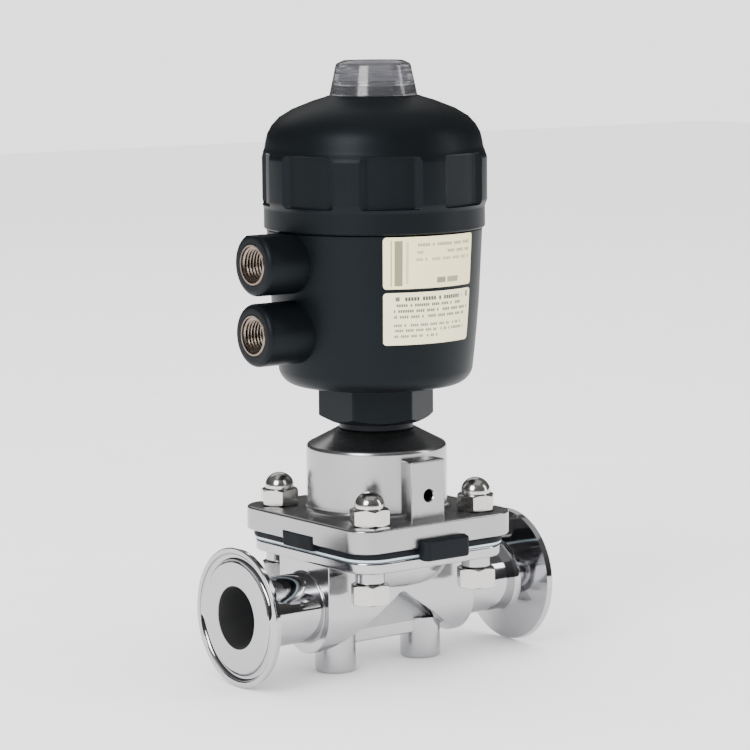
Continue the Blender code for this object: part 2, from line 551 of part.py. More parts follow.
def make_cap():
    low, high = CAP_BOTTOM, CAP_TOP
    rib_low, rib_high = CAP_RIB_Z
    wall_r = CAP_RIB_R - 1.6 * MM
    outer = [(SPIGOT_R + 0.4 * MM, low), (CAP_LIP_R - 0.6 * MM, low), (CAP_LIP_R, low + 0.6 * MM),
             (CAP_LIP_R, rib_low - 1.4 * MM), (wall_r, rib_low), (wall_r, rib_high + 1.0 * MM)]
    outer += [(39.3 * MM, high - 16.2 * MM), (38.6 * MM, high - 13.4 * MM), (37.0 * MM, high - 10.5 * MM),
              (34.3 * MM, high - 7.6 * MM), (29.5 * MM, high - 4.7 * MM), (22.1 * MM, high - 1.8 * MM),
              (17.0 * MM, high - 0.5 * MM), (16.4 * MM, high)]
    inner = [(14.4 * MM, high), (14.4 * MM, high - 2.0 * MM), (12.4 * MM, high - 2.0 * MM),
             (12.4 * MM, high - 6.0 * MM), (4.6 * MM, high - 6.0 * MM), (4.6 * MM, CAP_CEILING),
             (30.0 * MM, CAP_CEILING), (35.0 * MM, CAP_CEILING - 8 * MM), (35.4 * MM, SPIGOT_TOP + 1.5 * MM),
             (SPIGOT_R + 0.4 * MM, SPIGOT_TOP + 0.8 * MM)]
    cap = turned("upper_cap", outer + inner, BLACK, ROUND, ring=True)
    half = math.radians(8.4)
    root_r = wall_r - 1.5 * MM
    for number in range(RIB_COUNT):
        middle = math.radians(-141.0 + 360.0 * number / RIB_COUNT)
        edge = [(CAP_RIB_R * math.cos(middle + turn), CAP_RIB_R * math.sin(middle + turn))
                for turn in (-half, -half / 3, half / 3, half)]
        root = [(root_r * math.cos(middle + turn), root_r * math.sin(middle + turn))
                for turn in (half, -half)]
        join(cap, prism("rib", edge + root, rib_low - 0.6 * MM, rib_high))
    return cap


def make_lens():
    """Smoked cap over the position indicator, with its thread and O-ring."""
    base = CAP_TOP + GAP
    shoulder = LENS_TOP - 1.9 * MM
    foot = CAP_TOP - 5.4 * MM
    outer = [(10.4 * MM, foot), (12.0 * MM, foot), (12.0 * MM, base), (LENS_R, base),
             (LENS_R, base + 0.8 * MM), (13.8 * MM, shoulder), (10.6 * MM, LENS_TOP), (0, LENS_TOP)]
    inner = [(0, LENS_TOP - 1.8 * MM), (9.8 * MM, LENS_TOP - 1.8 * MM), (10.4 * MM, shoulder - 1.5 * MM)]
    turned("indicator_cap", inner + outer, CLEAR, ROUND)
    section = arc(0.8 * MM, 0, 270, 3, (13.4 * MM, CAP_TOP - 1.0 * MM))
    turned("indicator_cap_seal", section, RUBBER, ROUND, ring=True)


def make_spring(name, radius, wire, turns, finish=SPRING_STEEL):
    """Round-wire helix from the spring seat to the cap's ceiling, as a curve with filled ends."""
    low = PISTON_Z[1] + 1.5 * MM + GAP + wire
    high = CAP_CEILING - GAP - wire
    steps = turns * 10
    curve = bpy.data.curves.new(name, "CURVE")
    curve.dimensions = "3D"
    curve.bevel_depth = wire
    curve.bevel_resolution = 0
    curve.use_fill_caps = True
    line = curve.splines.new("POLY")
    line.points.add(steps)
    for step, point in enumerate(line.points):
        angle = math.tau * turns * step / steps
        height = low + (high - low) * step / steps
        point.co = (radius * math.cos(angle), radius * math.sin(angle), height, 1.0)
    curve.materials.append(material(finish))
    spring = bpy.data.objects.new(name, curve)
    bpy.context.scene.collection.objects.link(spring)


def make_label(name, low, high):
    """Thin film that wraps the tapered housing."""
    shape = bmesh.new()
    start, end, steps = math.radians(-122.9), math.radians(-65.3), 8
    thickness = 0.3 * MM
    taper = (HOUSING_R_HIGH - HOUSING_R_LOW) / (HOUSING_TOP - HOUSING_BOTTOM)
    rows = []
    for step in range(steps + 1):
        angle = start + (end - start) * step / steps
        ring = []
        for z in (low, high):
            skin = HOUSING_R_LOW + taper * (z - HOUSING_BOTTOM) + 0.9 * MM
            for radius in (skin, skin + thickness):
                ring.append(shape.verts.new((radius * math.cos(angle), radius * math.sin(angle), z)))
        rows.append((ring[0], ring[1], ring[3], ring[2]))
    for first, second in zip(rows, rows[1:]):
        for corner in range(4):
            following = (corner + 1) % 4
            shape.faces.new((first[corner], first[following], second[following], second[corner]))
    shape.faces.new(rows[0])
    shape.faces.new(rows[-1])
    solid(name, shape, PAPER)


def build():
    for existing in list(bpy.data.objects):
        bpy.data.objects.remove(existing, do_unlink=True)
    make_body()
    make_clamp_ends()
    make_bolting()
    make_diaphragm()
    make_bonnet()
    make_adapter()
    make_column()
    make_housing()
    make_cap()
    make_lens()
    make_spring("outer_spring", 25.0 * MM, 2.0 * MM, 5)
    make_spring("inner_spring", 15.0 * MM, 1.5 * MM, 7)
    make_label("rating_label", AXIS_Z + 117.2 * MM, AXIS_Z + 135.7 * MM)
    make_label("notice_label", AXIS_Z + 97.2 * MM, AXIS_Z + 115.8 * MM)
    for piece in bpy.data.objects:
        if piece.type == "MESH":
            piece.data.shade_smooth()
            piece.data.set_sharp_from_angle(angle=math.radians(30))


build()
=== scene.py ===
import math

import bpy
from mathutils import Matrix, Vector


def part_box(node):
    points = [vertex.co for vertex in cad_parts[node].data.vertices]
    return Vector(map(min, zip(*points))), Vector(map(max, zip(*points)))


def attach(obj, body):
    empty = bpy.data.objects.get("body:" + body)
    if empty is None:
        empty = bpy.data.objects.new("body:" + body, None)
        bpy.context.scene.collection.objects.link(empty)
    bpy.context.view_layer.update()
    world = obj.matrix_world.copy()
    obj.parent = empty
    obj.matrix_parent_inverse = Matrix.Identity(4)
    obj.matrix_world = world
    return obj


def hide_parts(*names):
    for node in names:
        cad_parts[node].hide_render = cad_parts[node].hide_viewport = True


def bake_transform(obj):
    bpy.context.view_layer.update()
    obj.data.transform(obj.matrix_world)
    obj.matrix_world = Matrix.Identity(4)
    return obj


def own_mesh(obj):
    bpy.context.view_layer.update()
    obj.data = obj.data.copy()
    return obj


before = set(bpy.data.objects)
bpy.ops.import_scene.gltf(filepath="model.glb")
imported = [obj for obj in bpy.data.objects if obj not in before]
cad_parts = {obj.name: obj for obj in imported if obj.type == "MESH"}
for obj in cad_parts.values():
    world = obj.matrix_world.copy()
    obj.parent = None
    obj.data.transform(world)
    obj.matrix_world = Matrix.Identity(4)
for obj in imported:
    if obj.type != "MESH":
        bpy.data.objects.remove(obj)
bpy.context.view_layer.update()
mm = 0.001

# ---- Studio -------------------------------------------------------------------------
# A pale seamless table under soft lights: a broad box high on the left, a tall strip on the
# right and weak boxes behind and overhead. The camera looks down a little from the port side.
camera_data = bpy.data.cameras.new("camera")
camera_data.sensor_width = 36.0
camera_data.lens = 141.1
camera_data.clip_start = 0.05
camera_data.clip_end = 30.0
camera = bpy.data.objects.new("camera", camera_data)
camera.matrix_world = Matrix((
    (0.79725, 0.08679, -0.59738, -0.64304),
    (-0.60359, 0.10015, -0.79098, -0.85094),
    (-0.00883, 0.99118, 0.13223, 0.24959),
    (0.0, 0.0, 0.0, 1.0),
))
bpy.context.scene.collection.objects.link(camera)
bpy.context.scene.camera = camera


class Value:
    """A number socket of a material: + - * < > on it add the Math nodes."""

    def __init__(self, tree, socket):
        self.tree = tree
        self.socket = socket

    def math(self, operation, other=0.0):
        node = self.tree.nodes.new("ShaderNodeMath")
        node.operation = operation
        for slot, item in enumerate((self, other)):
            if isinstance(item, Value):
                self.tree.links.new(item.socket, node.inputs[slot])
            else:
                node.inputs[slot].default_value = item
        return Value(self.tree, node.outputs[0])

    def __add__(self, other):
        return self.math("ADD", other)

    def __sub__(self, other):
        return self.math("SUBTRACT", other)

    def __mul__(self, other):
        return self.math("MULTIPLY", other)

    def __gt__(self, other):
        return self.math("GREATER_THAN", other)

    def __lt__(self, other):
        return self.math("LESS_THAN", other)

    __radd__ = __add__
    __rmul__ = __mul__


class Finish:
    """A finish being mixed on one Principled shader; plain settings go on its own sockets."""

    def __init__(self, name, **plain):
        self.material = bpy.data.materials.new(name)
        self.material.use_nodes = True
        self.tree = self.material.node_tree
        self.shader = self.tree.nodes["Principled BSDF"]
        for socket, setting in plain.items():
            self.shader.inputs[socket.replace("_", " ")].default_value = setting

    def node(self, kind, settings=None, output=0, **inputs):
        """Any node: its settings first, then the values or links of its sockets."""
        node = self.tree.nodes.new("ShaderNode" + kind)
        for name, setting in (settings or {}).items():
            if name == "stops":
                ramp = node.color_ramp
                for stop, (place, colour) in zip(ramp.elements, (setting[0], setting[-1])):
                    stop.position, stop.color = place, colour
                for place, colour in setting[1:-1]:
                    ramp.elements.new(place).color = colour
            else:
                setattr(node, name, setting)
        for name, item in inputs.items():
            key = int(name[1:]) if name[0] == "i" and name[1:].isdigit() else name.replace("_", " ")
            if isinstance(item, Value):
                self.tree.links.new(item.socket, node.inputs[key])
            else:
                node.inputs[key].default_value = item
        return Value(self.tree, node.outputs[output])

    def place(self, scale=(1.0, 1.0, 1.0)):
        """Object coordinates, stretched by scale."""
        spot = self.node("TexCoord", output=3)
        return self.node("Mapping", Vector=spot, Scale=scale)

    def noise(self, size, detail=3.0, stretch=(1.0, 1.0, 1.0)):
        """Grey noise whose grains are about size metres."""
        return self.node("TexNoise", Vector=self.place(stretch), Scale=1.0 / size, Detail=detail)

    def mix(self, share, first, second):
        return self.node("Mix", {"data_type": "RGBA"}, 2, i0=share, i6=first, i7=second)

    def set(self, socket, item):
        if isinstance(item, Value):
            self.tree.links.new(item.socket, self.shader.inputs[socket])
        else:
            self.shader.inputs[socket].default_value = item

    def bump(self, height, depth, strength=1.0):
        self.set("Normal", self.node("Bump", Height=height, Distance=depth, Strength=strength))


floor_size = 6.0
bpy.ops.object.select_all(action="DESELECT")
bpy.ops.mesh.primitive_plane_add(size=floor_size)
floor = bpy.context.object
floor.name = "studio_floor"
pale = Finish("pale_table", Roughness=0.85)
pale.set("Base Color", pale.mix(pale.noise(40 * mm, 2.0), (0.90, 0.90, 0.90, 1), (0.93, 0.93, 0.93, 1)))
floor.data.materials.append(pale.material)


def soft_light(name, place, size, watts, aim=(0.0, 0.0, 0.11)):
    data = bpy.data.lights.new(name, "AREA")
    data.shape = "RECTANGLE"
    data.size, data.size_y = size
    data.energy = watts
    lamp = bpy.data.objects.new(name, data)
    lamp.location = place
    lamp.rotation_euler = (Vector(aim) - Vector(place)).to_track_quat("-Z", "Y").to_euler()
    bpy.context.scene.collection.objects.link(lamp)


soft_light("key_box", (-1.30, -0.55, 0.95), (0.7, 0.9), 26.0)
soft_light("right_strip", (1.05, -0.85, 0.45), (0.22, 1.1), 5.0)
soft_light("back_box", (0.5, 1.2, 1.2), (1.4, 0.9), 3.0)
soft_light("top_box", (0.1, -0.1, 1.7), (1.7, 1.7), 4.0, (0.0, 0.0, 0.0))

world = bpy.data.worlds.new("studio")
world.use_nodes = True
bpy.context.scene.world = world
sky = world.node_tree
ray = sky.nodes.new("ShaderNodeTexCoord")
split = sky.nodes.new("ShaderNodeSeparateXYZ")
fade = sky.nodes.new("ShaderNodeMapRange")
fade.interpolation_type = "SMOOTHSTEP"
fade.inputs["From Min"].default_value = -0.02
fade.inputs["From Max"].default_value = 0.75
fade.inputs["To Min"].default_value = 0.05
fade.inputs["To Max"].default_value = 0.16
sky.links.new(ray.outputs["Generated"], split.inputs[0])
sky.links.new(split.outputs["Z"], fade.inputs["Value"])
path = sky.nodes.new("ShaderNodeLightPath")
seen = sky.nodes.new("ShaderNodeMix")
sky.links.new(path.outputs["Is Glossy Ray"], seen.inputs[0])
sky.links.new(fade.outputs[0], seen.inputs[3])
seen.inputs[2].default_value = 2.2
sky.links.new(seen.outputs[0], sky.nodes["Background"].inputs["Strength"])
sky.nodes["Background"].inputs["Color"].default_value = (1.0, 1.0, 1.0, 1.0)

# ---- Valve body -----------------------------------------------------------------------
# Stainless casting with welded clamp ends, ground and mirror-polished inside and out.
# A round-bottomed middle holds the weir; a web and two turned feet close the V below it.
pipe_z = 25.4 * mm
face_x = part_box("clamp_stub_2")[1].x
tube_r = 12.7 * mm
bore_r = 11.3 * mm
ferrule_r = 25.25 * mm
horn_x = 33.5 * mm
horn_r = 15.2 * mm
horn_z = pipe_z - 2.0 * mm
flange_low = pipe_z + 16.5 * mm
flange_top = pipe_z + 21.0 * mm
weir_z = pipe_z + 7.5 * mm
bolt_x, bolt_y = 24.25 * mm, 27.7 * mm
bolt_spots = [(-bolt_x, -bolt_y), (bolt_x, -bolt_y), (bolt_x, bolt_y), (-bolt_x, bolt_y)]


def bend(radius, start, end, steps, centre=(0.0, 0.0)):
    """Points along an arc, degrees from the first axis to the second."""
    turns = [math.radians(start + (end - start) * step / steps) for step in range(steps + 1)]
    return [(centre[0] + radius * math.cos(t), centre[1] + radius * math.sin(t)) for t in turns]


def above(base, *points):
    """Outline points given in millimetres: (radius, height above base)."""
    return [(radius * mm, base + height * mm) for radius, height in points]


def plug(radius, low, high):
    """Outline of a plain solid cylinder."""
    return [(0, low), (radius, low), (radius, high), (0, high)]


def start_piece(name, first):
    """A new mesh of one point, in edit mode with the point selected."""
    bpy.ops.object.select_all(action="DESELECT")
    bpy.ops.mesh.primitive_plane_add(size=mm)
    piece = bpy.context.object
    piece.name = name
    bpy.ops.object.mode_set(mode="EDIT")
    bpy.ops.mesh.select_all(action="SELECT")
    bpy.ops.mesh.merge(type="CENTER")
    bpy.ops.transform.translate(value=first)
    return piece


def draw(points):
    """Draw on from the selected point, one extruded edge at a time."""
    here = points[0]
    for point in points[1:]:
        step = tuple(b - a for a, b in zip(here, point))
        bpy.ops.mesh.extrude_region_move(TRANSFORM_OT_translate={"value": step})
        here = point


def settle(piece):
    """Fix the place and turn of a piece in its mesh."""
    bpy.ops.object.select_all(action="DESELECT")
    piece.select_set(True)
    bpy.context.view_layer.objects.active = piece
    bpy.ops.object.transform_apply(location=True, rotation=True, scale=True)
    return piece


def turned(name, outline, steps=96, closed=False, turn=(0, 0, 0), at=(0, 0, 0)):
    """Spin (radius, height) points round the upright axis, then turn and place the result."""
    points = [(radius, 0.0, height) for radius, height in outline]
    if closed:
        points.append(points[0])
    piece = start_piece(name, points[0])
    draw(points)
    bpy.ops.mesh.select_all(action="SELECT")
    bpy.ops.mesh.remove_doubles(threshold=1e-6)
    bpy.ops.mesh.spin(steps=steps, angle=math.tau, center=(0, 0, 0), axis=(0, 0, 1))
    bpy.ops.mesh.select_all(action="SELECT")
    bpy.ops.mesh.remove_doubles(threshold=2e-6)
    bpy.ops.mesh.normals_make_consistent(inside=False)
    bpy.ops.object.mode_set(mode="OBJECT")
    piece.rotation_euler = turn
    piece.location = at
    return settle(piece)


def slab(name, outline, low, high, turn=(0, 0, 0), at=(0, 0, 0)):
    """A flat outline raised from low to high."""
    points = [(x, y, low) for x, y in outline]
    piece = start_piece(name, points[0])
    draw(points + [points[0]])
    bpy.ops.mesh.select_all(action="SELECT")
    bpy.ops.mesh.remove_doubles(threshold=1e-6)
    bpy.ops.mesh.edge_face_add()
    bpy.ops.mesh.extrude_region_move(TRANSFORM_OT_translate={"value": (0, 0, high - low)})
    bpy.ops.mesh.select_all(action="SELECT")
    bpy.ops.mesh.normals_make_consistent(inside=False)
    bpy.ops.object.mode_set(mode="OBJECT")
    piece.rotation_euler = turn
    piece.location = at
    return settle(piece)


def rounded(half_x, half_y, corner, steps=12):
    """Outline of a rectangle with round corners."""
    outline = []
    for quarter, (sx, sy) in enumerate(((1, 1), (-1, 1), (-1, -1), (1, -1))):
        centre = (sx * (half_x - corner), sy * (half_y - corner))
        outline += bend(corner, 90 * quarter, 90 * quarter + 90, steps, centre)
    return outline


def change(piece, kind, **settings):
    """Add a modifier and apply it at once."""
    bpy.ops.object.select_all(action="DESELECT")
    piece.select_set(True)
    bpy.context.view_layer.objects.active = piece
    modifier = piece.modifiers.new(kind.lower(), kind)
    for name, setting in settings.items():
        setattr(modifier, name, setting)
    bpy.ops.object.modifier_apply(modifier=modifier.name)
    return piece


def soften(piece, width, segments=4, angle=30.0):
    """Round the edges sharper than angle."""
    return change(piece, "BEVEL", width=width, segments=segments, limit_method="ANGLE",
                  angle_limit=math.radians(angle), harden_normals=False)


def combine(piece, operation, *tools):
    """One Boolean per tool, each followed by merging the slivers it leaves."""
    for tool in tools:
        change(piece, "BOOLEAN", operation=operation, solver="EXACT", object=tool)
        bpy.data.objects.remove(tool, do_unlink=True)
        bpy.ops.object.mode_set(mode="EDIT")
        bpy.ops.mesh.select_all(action="SELECT")
        bpy.ops.mesh.remove_doubles(threshold=3e-6)
        bpy.ops.mesh.dissolve_degenerate(threshold=3e-6)
        bpy.ops.object.mode_set(mode="OBJECT")
    return piece


def join(piece, *tools):
    return combine(piece, "UNION", *tools)


def cut(piece, *tools):
    return combine(piece, "DIFFERENCE", *tools)


def finish(piece, body, stands_for, record_slot, *finishes, sharp=35.0):
    """Smooth shading, finish, the body it moves with and the node it stands for."""
    bpy.ops.object.select_all(action="DESELECT")
    piece.select_set(True)
    bpy.context.view_layer.objects.active = piece
    bpy.ops.object.mode_set(mode="EDIT")
    bpy.ops.mesh.select_all(action="SELECT")
    bpy.ops.mesh.remove_doubles(threshold=1e-6)
    bpy.ops.object.mode_set(mode="OBJECT")
    bpy.ops.object.shade_smooth_by_angle(angle=math.radians(sharp))
    change(piece, "WEIGHTED_NORMAL", keep_sharp=True, weight=80)
    piece.data.materials.clear()
    for item in finishes:
        piece.data.materials.append(item.material)
    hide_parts(stands_for)
    if body:
        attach(piece, body)
    return piece


polished = Finish("polished_stainless", Metallic=1.0)
haze = polished.noise(9 * mm, 4.0)
grind = polished.noise(0.5 * mm, 2.0, (0.15, 1.0, 1.0))
spot = polished.tree.nodes.new("ShaderNodeSeparateXYZ")
polished.tree.links.new(polished.node("TexCoord", output=3).socket, spot.inputs[0])
along, over, height = (Value(polished.tree, axis) for axis in spot.outputs)
from_axis = (over * over + (height - pipe_z) * (height - pipe_z)).math("SQRT")
casting = along.math("ABSOLUTE") < horn_x + 0.6 * mm
inside = from_axis < bore_r + 0.3 * mm
face = (along.math("ABSOLUTE") > face_x - 0.02 * mm) * (from_axis > bore_r + 0.3 * mm)
tone = polished.mix(haze, (0.49, 0.49, 0.505, 1), (0.42, 0.42, 0.435, 1))
# Inside the bore the base colour is mixed a fifth toward dark grey: painted shade in the recess. The extra
# roughness there is the bore's duller finish.
polished.set("Base Color", polished.mix(inside * 0.2, tone, (0.20, 0.21, 0.20, 1)))
polished.set("Roughness", 0.035 + haze * 0.04 + casting * 0.10 + inside * 0.26 + face * 0.16 + grind * 0.03)
polished.bump(polished.noise(11 * mm, 1.0) + grind * 0.02, 0.016 * mm)
turn_x = (0, math.pi / 2, 0)


def clamp_end_outline():
    """A clamp end's outline, from the weld out to the centre of the clamp face."""
    rim = 2.3 * mm
    root = 2.2 * mm
    slope = math.tan(math.radians(20.0))
    back = face_x - rim
    foot = back - (ferrule_r - tube_r - root) * slope
    outline = [(0.0, horn_x - 2.5 * mm), (tube_r, horn_x - 2.5 * mm), (tube_r, foot - 2.4 * mm)]
    outline += bend(root, 180, 110, 6, (tube_r + root, foot - root))[1:]
    outline += [(ferrule_r - 0.5 * mm, back - 0.05 * mm)]
    outline += bend(0.5 * mm, 0, 90, 4, (ferrule_r - 0.5 * mm, face_x - 0.5 * mm))
    outline += bend(1.6 * mm, -8, -172, 10, (21.8 * mm, face_x))
    outline += [(19.9 * mm, face_x), (0.0, face_x)]
    return outline


horn_section = bend(horn_r, 180, 360, 28, (0.0, horn_z))
horn_section += [(horn_r, flange_low + 2.6 * mm), (-horn_r, flange_low + 2.6 * mm)]
valve_body = slab("valve_body_steel", horn_section, -horn_x, horn_x, turn=(math.pi / 2, 0, math.pi / 2))
v_low = horn_z - horn_r
v_reach = 31.0 * mm
v_outline = [(v_reach, v_low), (v_reach + 3 * mm, v_low - 3 * mm), (-v_reach - 3 * mm, v_low - 3 * mm),
             (-v_reach, v_low)]
v_outline += bend(3.0 * mm, 145, 35, 6, (0.0, pipe_z + 4.2 * mm - 3.66 * mm))
v_cutter = slab("v_cutter", v_outline, -20 * mm, 20 * mm, turn=(math.pi / 2, 0, 0))
cut(valve_body, v_cutter)
soften(valve_body, 2.0 * mm, 5, 40.0)

web_outline = [(-22 * mm, 9.8 * mm), (22 * mm, 9.8 * mm), (22 * mm, pipe_z - 2 * mm),
               (6 * mm, pipe_z + 10 * mm), (-6 * mm, pipe_z + 10 * mm), (-22 * mm, pipe_z - 2 * mm)]
web = soften(slab("web", web_outline, -4 * mm, 4 * mm, turn=(math.pi / 2, 0, 0)), 0.7 * mm, 3)
join(valve_body, web)

foot_r = 7.5 * mm
foot_outline = [(0.0, 0.0)] + bend(0.9 * mm, -90, 0, 4, (foot_r - 0.9 * mm, 0.9 * mm))
foot_outline += [(foot_r, pipe_z - 10 * mm), (0.0, pipe_z - 10 * mm)]
for side in (-1, 1):
    join(valve_body, turned("foot", foot_outline, 64, at=(side * 19.65 * mm, 0, 0)))

flange = soften(slab("flange", rounded(34 * mm, 37 * mm, 11 * mm), flange_low, flange_top), 1.1 * mm, 4)
join(valve_body, flange)
boss_r = 5.3 * mm
boss_outline = [(0.0, flange_low - 4.6 * mm)]
boss_outline += bend(0.7 * mm, -90, 0, 3, (boss_r - 0.7 * mm, flange_low - 3.9 * mm))
boss_outline += bend(1.0 * mm, 180, 90, 3, (boss_r + 1.0 * mm, flange_low - 1.0 * mm))
boss_outline += [(boss_r + 1.0 * mm, flange_low + 1.9 * mm), (0.0, flange_low + 1.9 * mm)]
for x, y in bolt_spots:
    join(valve_body, turned("boss", boss_outline, 48, at=(x, y, 0)))
belly = [(0.0, pipe_z + 6.3 * mm), (15.5 * mm, pipe_z + 6.3 * mm)]
belly += bend(9.0 * mm, -80, -8, 8, (17.0 * mm, pipe_z + 15.2 * mm))
belly += [(25.9 * mm, flange_low + 1.4 * mm), (0.0, flange_low + 1.4 * mm)]
join(valve_body, turned("belly", belly))
collar = above(horn_x, (0, -4), (13.9, -4), (13.9, 0.02))
collar += bend(1.2 * mm, -80, -180, 6, (tube_r + 0.9 * mm, horn_x + 1.2 * mm))
collar += [(0.0, horn_x + 1.2 * mm)]
for side in (1, -1):
    for name, outline in (("collar", collar), ("clamp_end", clamp_end_outline())):
        join(valve_body, turned(name, [(r, side * x) for r, x in outline], 128, turn=turn_x,
                                at=(0, 0, pipe_z)))

climb = math.radians(35.0)
for side in (1, -1):
    bore = [(0.0, 29 * mm), (bore_r, 29 * mm), (bore_r, face_x - 0.4 * mm),
            (bore_r + 0.6 * mm, face_x + mm), (0.0, face_x + mm)]
    cut(valve_body, turned("bore", [(r, side * x) for r, x in bore], 96, turn=turn_x, at=(0, 0, pipe_z)))
    slant = turned("slant", plug(10.6 * mm, -2 * mm, 26 * mm), 64,
                   turn=(0, side * (climb - math.pi / 2), 0), at=(side * 32 * mm, 0, pipe_z))
    cut(valve_body, slant)
bowl_depth = flange_top - weir_z
bowl_r = ((20 * mm) ** 2 + bowl_depth ** 2) / (2 * bowl_depth)
bowl_z = weir_z + bowl_r


def bowl_plug(name, inset, top):
    """The bowl's sphere, smaller by inset, up to a flat top."""
    radius = bowl_r - inset
    reach = math.degrees(math.asin((bowl_z - top) / radius))
    outline = bend(radius, -90, -reach, 20, (0.0, bowl_z))
    outline[0] = (0.0, bowl_z - radius)
    return turned(name, outline + [(0.0, top)], 96)


cut(valve_body, bowl_plug("bowl", 0.0, 52 * mm))
for x, y in bolt_spots:
    cut(valve_body, turned("hole", plug(4.3 * mm, 0, 60 * mm), 32, at=(x, y, 0)))
finish(valve_body, "valve", "valve_body", "stainless_polished", polished)
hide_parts("clamp_stub_1", "clamp_stub_2")

# ---- Bolts and cap nuts ------------------------------------------------------------------
# M8 hexagon bolts pushed up from under the body flange, held by low domed cap nuts.
# Machined from bright stainless bar; the hexagons are chamfered and the domes polished.
hex_r = 13.0 * mm / math.sqrt(3.0)
head_top = flange_low - 4.6 * mm - 0.05 * mm
head_height = 7.3 * mm
nut_base = pipe_z + 33.0 * mm + 0.05 * mm


def hex_outline(corner_r, first=0.0):
    return bend(corner_r, first, first + 300, 5)


def chamfered_hex(name, corner_r, low, high, edge=0.25 * mm):
    """Hexagon bar with eased edges whose corners are turned off at 30 degrees at both ends."""
    bar = soften(slab(name, hex_outline(corner_r), low - mm, high + mm), edge, 2, 40.0)
    face_r = corner_r * math.cos(math.pi / 6) * 0.97
    drop = (corner_r + mm - face_r) * math.tan(math.radians(30.0))
    outline = [(0.0, low), (face_r, low), (corner_r + mm, low + drop), (corner_r + mm, high - drop),
               (face_r, high), (0.0, high)]
    return combine(bar, "INTERSECT", turned("chamfer", outline, 96))


bright = Finish("bright_bar_steel", Metallic=1.0)
turning = bright.noise(0.35 * mm, 2.0, (0.15, 0.15, 3.0))
stain = bright.noise(4 * mm, 3.0)
bright.set("Base Color", bright.mix(stain, (0.52, 0.51, 0.48, 1), (0.62, 0.61, 0.59, 1)))
bright.set("Roughness", 0.10 + stain * 0.10 + turning * 0.06)
bright.bump(turning, 0.010 * mm)

for number, (x, y) in enumerate(bolt_spots, 1):
    bolt = chamfered_hex(f"flange_bolt_steel_{number}", hex_r, head_top - head_height, head_top)
    shank = above(head_top, (0, -1), (4, -1)) + above(nut_base, (4, 8), (3.4, 8.8), (0, 8.8))
    join(bolt, turned("shank", shank, 48))
    bolt.location = (x, y, 0)
    settle(bolt)
    finish(bolt, "valve", f"flange_bolt_{number}", "stainless_fastener", bright)

    nut = chamfered_hex(f"cap_nut_steel_{number}", hex_r, nut_base, nut_base + 6.0 * mm)
    dome_r = 5.4 * mm
    dome = [(0.0, nut_base + mm), (dome_r - 0.5 * mm, nut_base + mm),
            (dome_r - 0.5 * mm, nut_base + 6.3 * mm)]
    dome += [(dome_r * math.cos(t), nut_base + 7.0 * mm + 5.0 * mm * math.sin(t))
             for t in (math.radians(a) for a in range(-8, 90, 7))]
    dome += [(0.0, nut_base + 12.0 * mm)]
    join(nut, turned("dome", dome, 64))
    cut(nut, turned("thread", above(nut_base, (0, -1), (4.05, -1), (4.05, 9), (0, 10)), 48))
    nut.rotation_euler = (0, 0, math.radians((8.0, -14.0, 21.0, 3.0)[number - 1]))
    nut.location = (x, y, 0)
    settle(nut)
    finish(nut, "valve", f"cap_nut_{number}", "stainless_fastener", bright)

# ---- Diaphragm and its facing ------------------------------------------------------------
# Moulded black rubber sheet with a lug at each mid-side that shows it is fitted, over a thin
# pale fluoropolymer facing. Both are clamped between the flanges and dished onto the weir.
seam_z = flange_top + 0.85 * mm
rubber_top = pipe_z + 24.2 * mm
lug_half_x, lug_half_y = 10.2 * mm, 9.1 * mm
notch_top = rubber_top + 3.2 * mm

film = Finish("facing_film", Roughness=0.42, IOR=1.38)
film.set("Base Color", film.mix(film.noise(3 * mm, 3.0), (0.42, 0.52, 0.58, 1), (0.58, 0.67, 0.72, 1)))
film.bump(film.noise(0.8 * mm, 3.0), 0.02 * mm)

rubber = Finish("moulded_rubber", Specular_IOR_Level=0.18)
bloom = rubber.noise(5 * mm, 4.0)
rubber.set("Base Color", rubber.mix(bloom, (0.002, 0.003, 0.005, 1), (0.004, 0.006, 0.009, 1)))
rubber.set("Roughness", 0.5 + bloom * 0.2)
rubber.bump(rubber.noise(0.25 * mm, 3.0) + bloom * 0.6, 0.03 * mm)

facing = soften(slab("diaphragm_facing_film", rounded(34.3 * mm, 37.2 * mm, 11 * mm),
                     flange_top + 0.02 * mm, seam_z - 0.02 * mm), 0.2 * mm, 2)
join(facing, bowl_plug("dish", 0.05 * mm, seam_z - 0.3 * mm))
cut(facing, bowl_plug("hollow", 0.85 * mm, 52 * mm))

diaphragm = soften(slab("diaphragm_rubber", rounded(34.5 * mm, 37.4 * mm, 11 * mm), seam_z,
                        rubber_top - 0.02 * mm), 0.5 * mm, 3)
join(diaphragm, bowl_plug("dish", 0.9 * mm, seam_z + mm))
cut(diaphragm, bowl_plug("hollow", 3.4 * mm, 52 * mm))
cut(diaphragm, turned("pocket", plug(5.2 * mm, weir_z + 2.4 * mm, weir_z + 8 * mm), 64))
for side in (-1, 1):
    lug = soften(slab("lug", rounded(lug_half_x, 2.9 * mm, 2.2 * mm, 5), flange_top - 1.2 * mm,
                      notch_top - 0.1 * mm), 0.9 * mm, 4)
    lug.location = (0, side * 39.7 * mm, 0)
    join(diaphragm, settle(lug))
    tongue = soften(slab("tongue", rounded(lug_half_x, 3.0 * mm, 0.8 * mm, 3), seam_z + 0.1 * mm,
                         notch_top - 0.1 * mm), 0.3 * mm, 2)
    tongue.location = (0, side * 37.3 * mm, 0)
    join(diaphragm, settle(tongue))
    ear = soften(slab("ear", rounded(2.1 * mm, lug_half_y, 0.8 * mm, 3), seam_z + 0.1 * mm,
                      notch_top - 0.1 * mm), 0.4 * mm, 3)
    ear.location = (side * 34.3 * mm, 0, 0)
    join(diaphragm, settle(ear))
for x, y in bolt_spots:
    for sheet in (facing, diaphragm):
        cut(sheet, turned("hole", plug(4.2 * mm, 0, 60 * mm), 32, at=(x, y, 0)))
finish(facing, None, "diaphragm_facing", "facing_ptfe", film)
